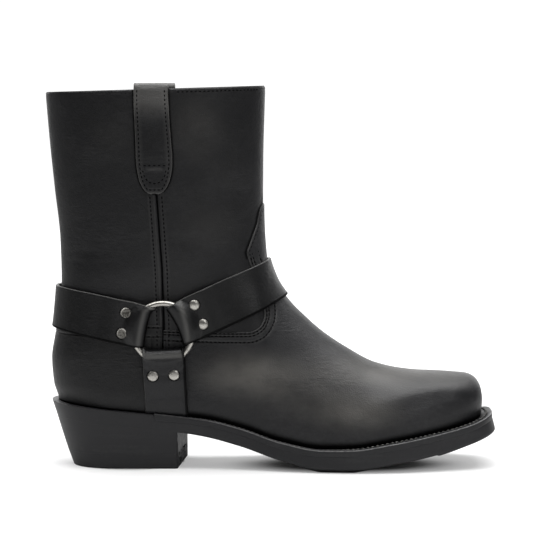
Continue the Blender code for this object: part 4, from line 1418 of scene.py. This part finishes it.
rivetSections = {
    "front": [
        (0.0, 1.0), (0.3, 0.965), (0.56, 0.87), (0.76, 0.71), (0.88, 0.53), (0.95, 0.36), (0.99, 0.12),
    ],
    "back": [(0.0, 0.74), (0.4, 0.74), (0.68, 0.74), (0.78, 0.82), (0.86, 0.84), (0.95, 0.6), (0.99, 0.2)],
    "under": [
        (0.0, 0.84), (0.4, 0.825), (0.66, 0.77), (0.8, 0.69), (0.89, 0.56), (0.95, 0.38), (0.99, 0.12),
    ],
}
# painted shade by ring of the section: darker towards the rim, and over the whole face of the back rivets
rivetRowShade = {"front": (0, 0, 0, 0.2, 0.4), "back": (0.75, 0.75, 0.75, 0.1, 0), "under": (0, 0, 0, 0, 0)}


def addRivetHead(place):
    # one head with painted shade down its side and round its foot, spun from its section
    radius = harness["rivetRadius"]
    height = harness["rivetHeight"]
    section = [(share, height * rise) for share, rise in rivetSections[place]]
    section += [(1.0, -0.02), (1.13, -0.04), (1.13, -0.5), (0.0, -0.5)]
    angle = np.linspace(0, 2 * np.pi, 41)[:-1]
    rings = []
    for share, z in section:
        r = share * radius
        rings.append(np.stack([r * np.cos(angle) - shiftX, r * np.sin(angle) - shiftY, np.full(40, z)], 1))
    piece, row, _ = gridLoft("rivetHead", rings)
    setAttribute(piece, "edge", np.array([*rivetRowShade[place], 0.3, 0.9, 1, 1, 1, 1], float)[row])
    setAttribute(piece, "paintedShade", np.array([0, 0, 0, 0, 0, 0, 0.2, 1, 1, 1, 1], float)[row])
    closeUp(piece, 50, 0.005)
    return piece


def strapFace(word, across, along, side):
    # a place on a strap's outer face
    lift = float(strapRise(word, across, along, side)) + harness["thickness"] / 2 + 0.05
    return Vector(strapPoint(harness[word], across, along, lift, side))


rivetHeads = {place: addRivetHead(place) for place in rivetSections}
for side, word in ((lateral, "lateral"), (medial, "medial")):
    for place in ("front", "back", "under"):
        for number in (1, 2):
            across = harness["rivetShift"][place] + harness["rivetSpacing"] * (number - 1.5)
            along = harness["rivetAlong"][place]
            seat = strapFace(place, across, along, side)
            below = Vector(strapPoint(harness[place], across, along, 0.0, side))
            ahead = strapFace(place, across + 3, along, side) - seat
            beside = strapFace(place, across, along + 3, side) - seat
            normal = ahead.cross(beside).normalized()
            if normal.dot(seat - below) < 0:
                normal.negate()
            pick(rivetHeads[place])
            bpy.ops.object.duplicate()
            rivet = rename("rivet%s%s%d" % (place.title(), word.title(), number))
            moveInto(rivet, seat, normal)
            finishPiece(rivet, rivetFinish[place], ["rivet_%s_%s_%d" % (place, word, number)])
for head in rivetHeads.values():
    bpy.data.objects.remove(head)
print("harness made")


# Pull tabs, lining and sock

def tabSwell(z):
    # stands up where its layers end inside, and bulges below the fold
    fold = 1.5 * band(z, 249, 8.5)
    return 0.55 * band(z, tabShape["ridgeZ"], 1.3) + 0.5 * softStep((z - 209) / 9) + fold


def makeTab(name, side):
    shape = tabShape
    outside = shape["clear"] + shape["thickness"] / 2
    inside = -shaftCut["wall"] - outside - 0.6
    radius = (outside - inside) / 2
    rows = [(outside, shape["tipZ"] + rise) for rise in shape["tipRows"]]
    rows += [(outside, z) for z in np.arange(shape["tipZ"] + 12, shape["topZ"] - 1, 1.6)]
    halfway = (outside + inside) / 2
    for around in (math.pi * step / 12 for step in range(13)):
        rows.append((halfway + radius * math.cos(around), shape["topZ"] + radius * math.sin(around)))
    rows += [(inside, z) for z in np.arange(shape["topZ"] - 2, shape["insideZ"] - 0.1, -3.0)]
    shares = strapShares()
    middle = []
    passed = False
    for lift, z in rows:
        passed = passed or z > shape["topZ"]
        reach = float(tabReach(shape["topZ"] if passed else z))
        swell = 0.0 if passed else float(tabSwell(z))
        x = float(tabMiddle(shape["topZ"] if passed else z, side)) + shares * reach
        width = halfWidth(x, np.full(len(x), min(z, upperShape["collarZ"])), side, True)
        crown = 0.0 if passed else shape["crown"] * (1 - shares ** 2)
        y = side * (width + lift + swell * (1 - np.abs(shares) ** 3) + crown)
        middle.append(np.stack([x, y, np.full(len(x), z)], 1))
    middle = np.array(middle)
    if side == medial:
        middle = middle[:, ::-1]
    rings = wrapSection(middle, shares, shape["thickness"])
    piece, row, column = gridLoft(name, rings)
    share = np.concatenate([shares, shares[::-1][1:-1], shares[:1]])[column]
    z = np.concatenate([[0.0], [z for _, z in rows], [0.0]])[row]
    outer = np.arange(len(rows) + 2)[row] < len(rows) - 12
    reach = tabReach(z)
    near = np.minimum((1 - np.abs(share)) * reach, z - shape["tipZ"])
    # pale cut edges and pale beside the stitches, with a painted highlight on the ridge and over the top of
    # the fold
    pale = 0.6 * band(near, 0.35, 0.5) + 0.5 * band(z, shape["ridgeZ"], 0.6) * (np.abs(share) < 0.45)
    pale = pale + 0.16 * shoulders(near, (shape["stitch"],)) + 0.9 * softStep((z - 240) / 18)
    setAttribute(piece, "edge", np.where(outer, pale, 0.3))
    setAttribute(piece, "paintedShade", np.zeros(len(row)))
    closeUp(piece, 60, 0.005)
    return piece


# the tab copy is toned down: painted shade
tabSkin = leatherMaterial("tab leather", gloss=0.03, tone=0.65)
finishPiece(makeTab("tabLateral", lateral), tabSkin, ["tab_lateral"])
finishPiece(makeTab("tabMedial", medial), tabSkin, ["tab_medial"])

liningShape = {"depth": 2.5, "thickness": 0.6, "columns": 160, "rows": 96}
liningLook = {"pale": (0.2, 0.205, 0.185, 1), "soiled": (0.09, 0.09, 0.08, 1), "roughness": 0.8}
footLining = startSkin("footLining", liningShape["columns"], liningShape["rows"], 0.0, 0.996)
laySkin(footLining, lambda x, z, side, v: np.full(len(x), -liningShape["depth"]))
mergeDoubles(footLining)
thicken(footLining, liningShape["thickness"], -1)
shadeRound(footLining, 60)

clothTone = liningLook["pale"][:3]
liningCloth, liningShader, liningPlace = newMaterial("lining", clothTone, liningLook["roughness"])
soil = liningPlace.noise(30.0, 4.0) + liningPlace.noise(300.0, 2.0) * 0.4
feed(liningShader, "Base Color", soil.between(0.35, 1.1).tint(liningLook["pale"], liningLook["soiled"]))
feed(liningShader, "Roughness", liningLook["roughness"] + (soil - 0.7) * 0.2)
feed(liningShader, "Normal", bump(liningPlace.cells(900.0), 0.2, 0.3))
finishPiece(footLining, liningCloth)

sockShape = {"inset": 6.2, "height": 3.4}


def sockRing(inset, height, squeeze=1.0):
    plan = planLine(-inset - 3.6, -inset - 7.4, lambda x: -sole(x, "ledge") - inset)
    return planRing(plan, lambda x, y: sole(x, "top") + height, squeeze)


inset = sockShape["inset"]
height = sockShape["height"]
sockRings = [sockRing(inset, height, squeeze) for squeeze in (0.0, 0.35, 0.7, 0.93)]
sockRings += [sockRing(inset - 0.6, height - 0.2), sockRing(inset - 1, 2.6), sockRing(inset - 1, 0.2)]
sockRings += [sockRing(inset, 0.0, 0.5), sockRing(6, 0.0, 0.0)]
sockLining, _, _ = gridLoft("sockLining", sockRings)
closeUp(sockLining, 40)
finishPiece(sockLining, liningCloth, ["insole"])
print("tabs and lining made")


# Stitches: one small stitch modelled once, laid along every sewn line

stitchLook = {
    "length": 2.0,
    "radius": 0.46,
    "pitch": 2.9,
    "sink": 0.18,
    "colour": (0.0016, 0.0016, 0.0018),
    "dark": (0.001, 0.001, 0.0012, 1),
    "pale": (0.0035, 0.0035, 0.0036, 1),
    "roughness": 0.85,
}
bpy.ops.mesh.primitive_uv_sphere_add(segments=8, ring_count=6, radius=1.0)
oneStitch = rename("oneStitch")
stitchShape = getPlaces(oneStitch)
stitchFaces = [tuple(face.vertices) for face in oneStitch.data.polygons]
bpy.data.objects.remove(oneStitch)


def sewn(line, normals, look=stitchLook, sink=0.1):
    # centres, directions and normals of the stitches along a line of places
    line = np.asarray(line, float)
    along = chordLength(line)
    count = max(1, int(along[-1] / look["pitch"]))
    at = (np.arange(count) + 0.5) * along[-1] / count

    def valuesAt(values, step=0.0):
        return np.stack([np.interp(at + step, along, column) for column in values.T], 1)

    up = valuesAt(normals)
    return valuesAt(line) - sink * up, valuesAt(line, 0.5) - valuesAt(line, -0.5), up


def stitchPiece(name, rows, material, look=stitchLook):
    centre, heading, up = (np.concatenate(values) for values in zip(*rows))
    heading /= np.linalg.norm(heading, axis=1)[:, None]
    sideways = np.cross(up, heading)
    sideways /= np.linalg.norm(sideways, axis=1)[:, None]
    up = np.cross(heading, sideways)
    shape = stitchShape[None]
    places = centre[:, None] + look["length"] / 2 * shape[..., 0:1] * heading[:, None]
    places = places + look["radius"] * (shape[..., 1:2] * sideways[:, None] + shape[..., 2:3] * up[:, None])
    size = len(stitchShape)
    faces = [tuple(i + size * n for i in face) for n in range(len(centre)) for face in stitchFaces]
    mesh = bpy.data.meshes.new(name)
    flat = (places.reshape(-1, 3) + np.array([shiftX, shiftY, 0])) * mm
    mesh.from_pydata(flat.tolist(), [], faces)
    piece = bpy.data.objects.new(name, mesh)
    bpy.context.scene.collection.objects.link(piece)
    shadeRound(piece, 80)
    finishPiece(piece, material)
    print(name, len(centre), "stitches")
    return piece


thread, threadShader, threadPlace = newMaterial("thread", stitchLook["colour"], stitchLook["roughness"])
threadShader.inputs["Specular IOR Level"].default_value = 0.06
twist = threadPlace.noise(1500.0, 2.0)
feed(threadShader, "Base Color", twist.between(0.3, 0.8).tint(stitchLook["dark"], stitchLook["pale"]))
feed(threadShader, "Roughness", stitchLook["roughness"] + (twist - 0.5) * 0.3)


def onSkin(points, side, lift):
    # places and outward normals of a side-view line on the boot
    points = np.asarray(points, float)
    x = points[:, 0]
    z = points[:, 1]
    width = halfWidth(x, z, side)
    step = 0.6
    slopeX = (halfWidth(x + step, z, side) - halfWidth(x - step, z, side)) / (2 * step)
    slopeZ = (halfWidth(x, z + step, side) - halfWidth(x, z - step, side)) / (2 * step)
    normal = np.stack([-slopeX, np.full(len(x), float(side)), -slopeZ], 1)
    normal /= np.linalg.norm(normal, axis=1)[:, None]
    places = np.stack([x, side * width, z], 1)
    return places + lift * normal, normal


def insetLine(line, distance):
    # a line in the side view moved to its right-hand side
    line = np.asarray(line, float)
    way = np.gradient(line, axis=0)
    way /= np.linalg.norm(way, axis=1)[:, None]
    return line + distance * np.stack([way[:, 1], -way[:, 0]], 1)


def sewOn(line, side, lift, least=0):
    # leaves out the places where the boot is narrower than the least
    wide = halfWidth(line[:, 0], line[:, 1], side) > least
    return sewn(*onSkin(line[wide], side, lift))


vampRows = []
seamRows = []
tabRows = []
for side in (lateral, medial):
    rowLift = vampCut["thickness"] - stitchLook["sink"]
    for row in vampCut["rows"]:
        vampRows.append(sewOn(insetLine(roundLine(vampCut["edge"], 160), row), side, rowLift, 3))
    wingRow = insetLine(roundLine(vampCut["wing"], 60), vampCut["rows"][0])
    vampRows.append(sewOn(wingRow, side, rowLift, 5))
    for row in counterCut["rows"]:
        line = np.array(counterCut["edge"][:2], float) + np.array([[-1.5, -row], [0, -row]])
        vampRows.append(sewOn(evenLine(line, 200), side, counterCut["thickness"] - stitchLook["sink"]))
    for offset in seamLine["rows"]:
        line = evenLine(np.array(seamLine["line"][1:5]) + np.array([offset, 0.0]), 200)
        line = line[line[:, 1] > 50]
        high = np.where(line[:, 1] > 97, 0.0, 1.0)
        places, normals = onSkin(line, side, 0.0)
        places = places + normals * (high - 0.15)[:, None]
        seamRows.append(sewn(places, normals))
    for start, end, lift in collarSeam["rows"]:
        x = np.linspace(start, end, 120)
        z = np.interp(x, collarSeam["endX"], np.array(collarSeam["endZ"]) - collarSeam["below"])
        seamRows.append(sewOn(np.stack([x, z], 1), side, lift, 8))


def tabLine(points, side, lift):
    points = np.asarray(points, float)
    places, normals = onSkin(points, side, 0.0)
    z = points[:, 1]
    across = (points[:, 0] - tabMiddle(z, side)) / np.maximum(tabReach(z), 1)
    swell = tabSwell(z) * (1 - np.abs(across) ** 3)
    rise = tabShape["clear"] + tabShape["thickness"] + swell + tabShape["crown"] * (1 - across ** 2)
    return places + normals * (rise + lift)[:, None], normals


def levelLine(reach, z, count):
    # straight across the tab
    x = np.linspace(tabShape["x"] - reach, tabShape["x"] + reach, count)
    return np.stack([x, np.full(count, z)], 1)


tabSewing = {"footZ": 194.2, "crossZ": 210.9, "crossReach": 8.2, "loopZ": 208.3, "loopSize": (7.8, 9.8)}
for side in (lateral, medial):
    z = np.concatenate([np.linspace(263, 217, 60), np.linspace(216, 194.6, 50)])
    reach = tabReach(z) - tabShape["stitch"]
    left = np.stack([tabMiddle(z, side) - reach, z], 1)
    right = np.stack([tabMiddle(z, side) + reach, z], 1)[::-1]
    outer = np.concatenate([left, levelLine(reach[-1], tabSewing["footZ"], 20), right])
    cross = levelLine(tabSewing["crossReach"], tabSewing["crossZ"], 40)
    turn = np.linspace(0, math.pi, 40)
    wide, deep = tabSewing["loopSize"]
    loop = np.stack([tabShape["x"] - wide * np.cos(turn), tabSewing["loopZ"] - deep * np.sin(turn)], 1)
    tabRows += [sewn(*tabLine(line, side, -0.05)) for line in (outer, cross, loop)]

stitchPiece("vampStitches", vampRows, thread)
stitchPiece("seamStitches", seamRows, thread)
stitchPiece("tabStitches", tabRows, thread)

weltLook = {
    "length": 2.3,
    "radius": 0.62,
    "pitch": 3.4,
    "proud": 0.3,
    "sunk": 0.9,
    "colour": (0.03, 0.029, 0.024),
    "dark": (0.04, 0.039, 0.036, 1),
    "pale": (0.16, 0.155, 0.145, 1),
    "roughness": 0.7,
}
weltPath = evenLine(weltLine(weltShape["stitch"], -0.05), 900)
weltThread, weltShader, weltPlace = newMaterial("welt thread", weltLook["colour"], weltLook["roughness"])
wax = weltPlace.noise(900.0, 2.0)
feed(weltShader, "Base Color", wax.between(0.3, 0.8).tint(weltLook["dark"], weltLook["pale"]))
weltUp = np.tile(np.array([[0.0, 0.0, 1.0]]), (900, 1))
weltRow = sewn(weltPath, weltUp, weltLook, -0.1)
# pulled deep into the groove along the arch, proud of it round the toe
toToe = softStep((weltRow[0][:, 0] - 30) / 55)
weltRow[0][:, 2] += weltLook["proud"] - weltLook["sunk"] * (1 - toToe)
stitchPiece("weltStitches", [weltRow], weltThread, weltLook)


# Camera, floor and light

stage = {
    "target": (0.0, 0.0, 136.0),
    "distance": 1755.0,
    "pitch": 4.31,
    "yaw": 0.1,
    "lens": 166.43,
    "sensor": 36.0,
    "floorSize": 12.0,
    "nearFloor": (0.62, 0.62, 0.62, 1),
    "farFloor": (0.3, 0.3, 0.3, 1),
    "farGlow": 1.0,
    "nearGlow": (0.34, 0.34, 0.34, 1),
    "ambient": 0.09,
    "backdrop": 1.1,
    # painted contact shadow under the ball and heel: middle and size of each
    "ballShade": ((54, -10, 0), (110, 56, 50)),  # middle and size of the dark patch
    "heelShade": ((-98, -2, 0), (43, 45, 50)),
}

pitch = math.radians(stage["pitch"])
yaw = math.radians(stage["yaw"])
back = Vector((math.sin(yaw) * math.cos(pitch), -math.cos(yaw) * math.cos(pitch), math.sin(pitch)))
target = Vector((stage["target"][0] + shiftX, stage["target"][1] + shiftY, stage["target"][2])) * mm
bpy.ops.object.camera_add(location=target + back * stage["distance"] * mm)
camera = bpy.context.active_object
camera.rotation_euler = (-back).to_track_quat("-Z", "Y").to_euler()
camera.data.lens = stage["lens"]
camera.data.sensor_width = stage["sensor"]
bpy.context.scene.camera = camera

bpy.ops.mesh.primitive_plane_add(size=stage["floorSize"], location=(0, 0, 0))
floor = rename("floor")
floorPaint, floorShader, floorPlace = newMaterial("floor paint", stage["nearFloor"][:3], 0.9)
away = floorPlace.node("ShaderNodeVectorMath", {"operation": "LENGTH"}, {0: floorPlace}, out=1)
far = away.between(0.28, 0.95)
seen = floorPlace.node("ShaderNodeLightPath", out="Is Camera Ray")
feed(floorShader, "Base Color", far.tint(stage["nearFloor"], stage["farFloor"]))
feed(floorShader, "Roughness", 0.86 + 0.06 * floorPlace.noise(3.0))
# painted contact shadow: the camera-only glow is taken away under the ball and heel, and the near glow is
# painted light that lightens the floor's shadows
stands = floorPlace.blob(*stage["ballShade"]) * 1.2 + floorPlace.blob(*stage["heelShade"]) * 4
paintedShadow = stands.between(0.05, 0.75)
glow = far.tint(paintedShadow.tint(stage["nearGlow"], (0, 0, 0, 1)), (1, 1, 1, 1))
feed(floorShader, "Emission Color", seen.tint((0, 0, 0, 1), glow))
floorShader.inputs["Emission Strength"].default_value = stage["farGlow"]
floor.data.materials.append(floorPaint)


def addSoftbox(name, place, aim, width, height, power):
    bpy.ops.object.light_add(type="AREA", location=Vector(place))
    lamp = bpy.context.active_object
    lamp.name = name
    lamp.data.shape = "RECTANGLE"
    lamp.data.size = width
    lamp.data.size_y = height
    lamp.data.energy = power
    lamp.rotation_euler = (Vector(aim) - Vector(place)).to_track_quat("-Z", "Y").to_euler()
    return lamp


addSoftbox("top softbox", (0.0, 0.1, 1.9), (0, 0, 0), 2.4, 2.4, 82)
addSoftbox("back softbox", (0.0, 2.6, 0.9), (0, 0, 0.3), 5.0, 1.7, 42)
addSoftbox("front softbox", (1.1, -2.1, 1.35), (0, 0, 0.1), 1.6, 0.8, 9)
addSoftbox("right softbox", (1.7, 0.6, 1.5), (0, 0, 0.18), 0.6, 1.2, 5)
addSoftbox("left softbox", (-1.8, 0.6, 0.7), (0, 0, 0.15), 0.5, 1.4, 1.2)

world = bpy.data.worlds.new("studio")
bpy.context.scene.world = world
world.use_nodes = True
background = world.node_tree.nodes["Background"]
background.inputs["Color"].default_value = (1, 1, 1, 1)
toCamera = Value(world.node_tree).node("ShaderNodeLightPath", out="Is Camera Ray")
feed(background, "Strength", stage["ambient"] + toCamera * (stage["backdrop"] - stage["ambient"]))
bpy.context.scene.view_settings.view_transform = "Standard"

print("boot finished")
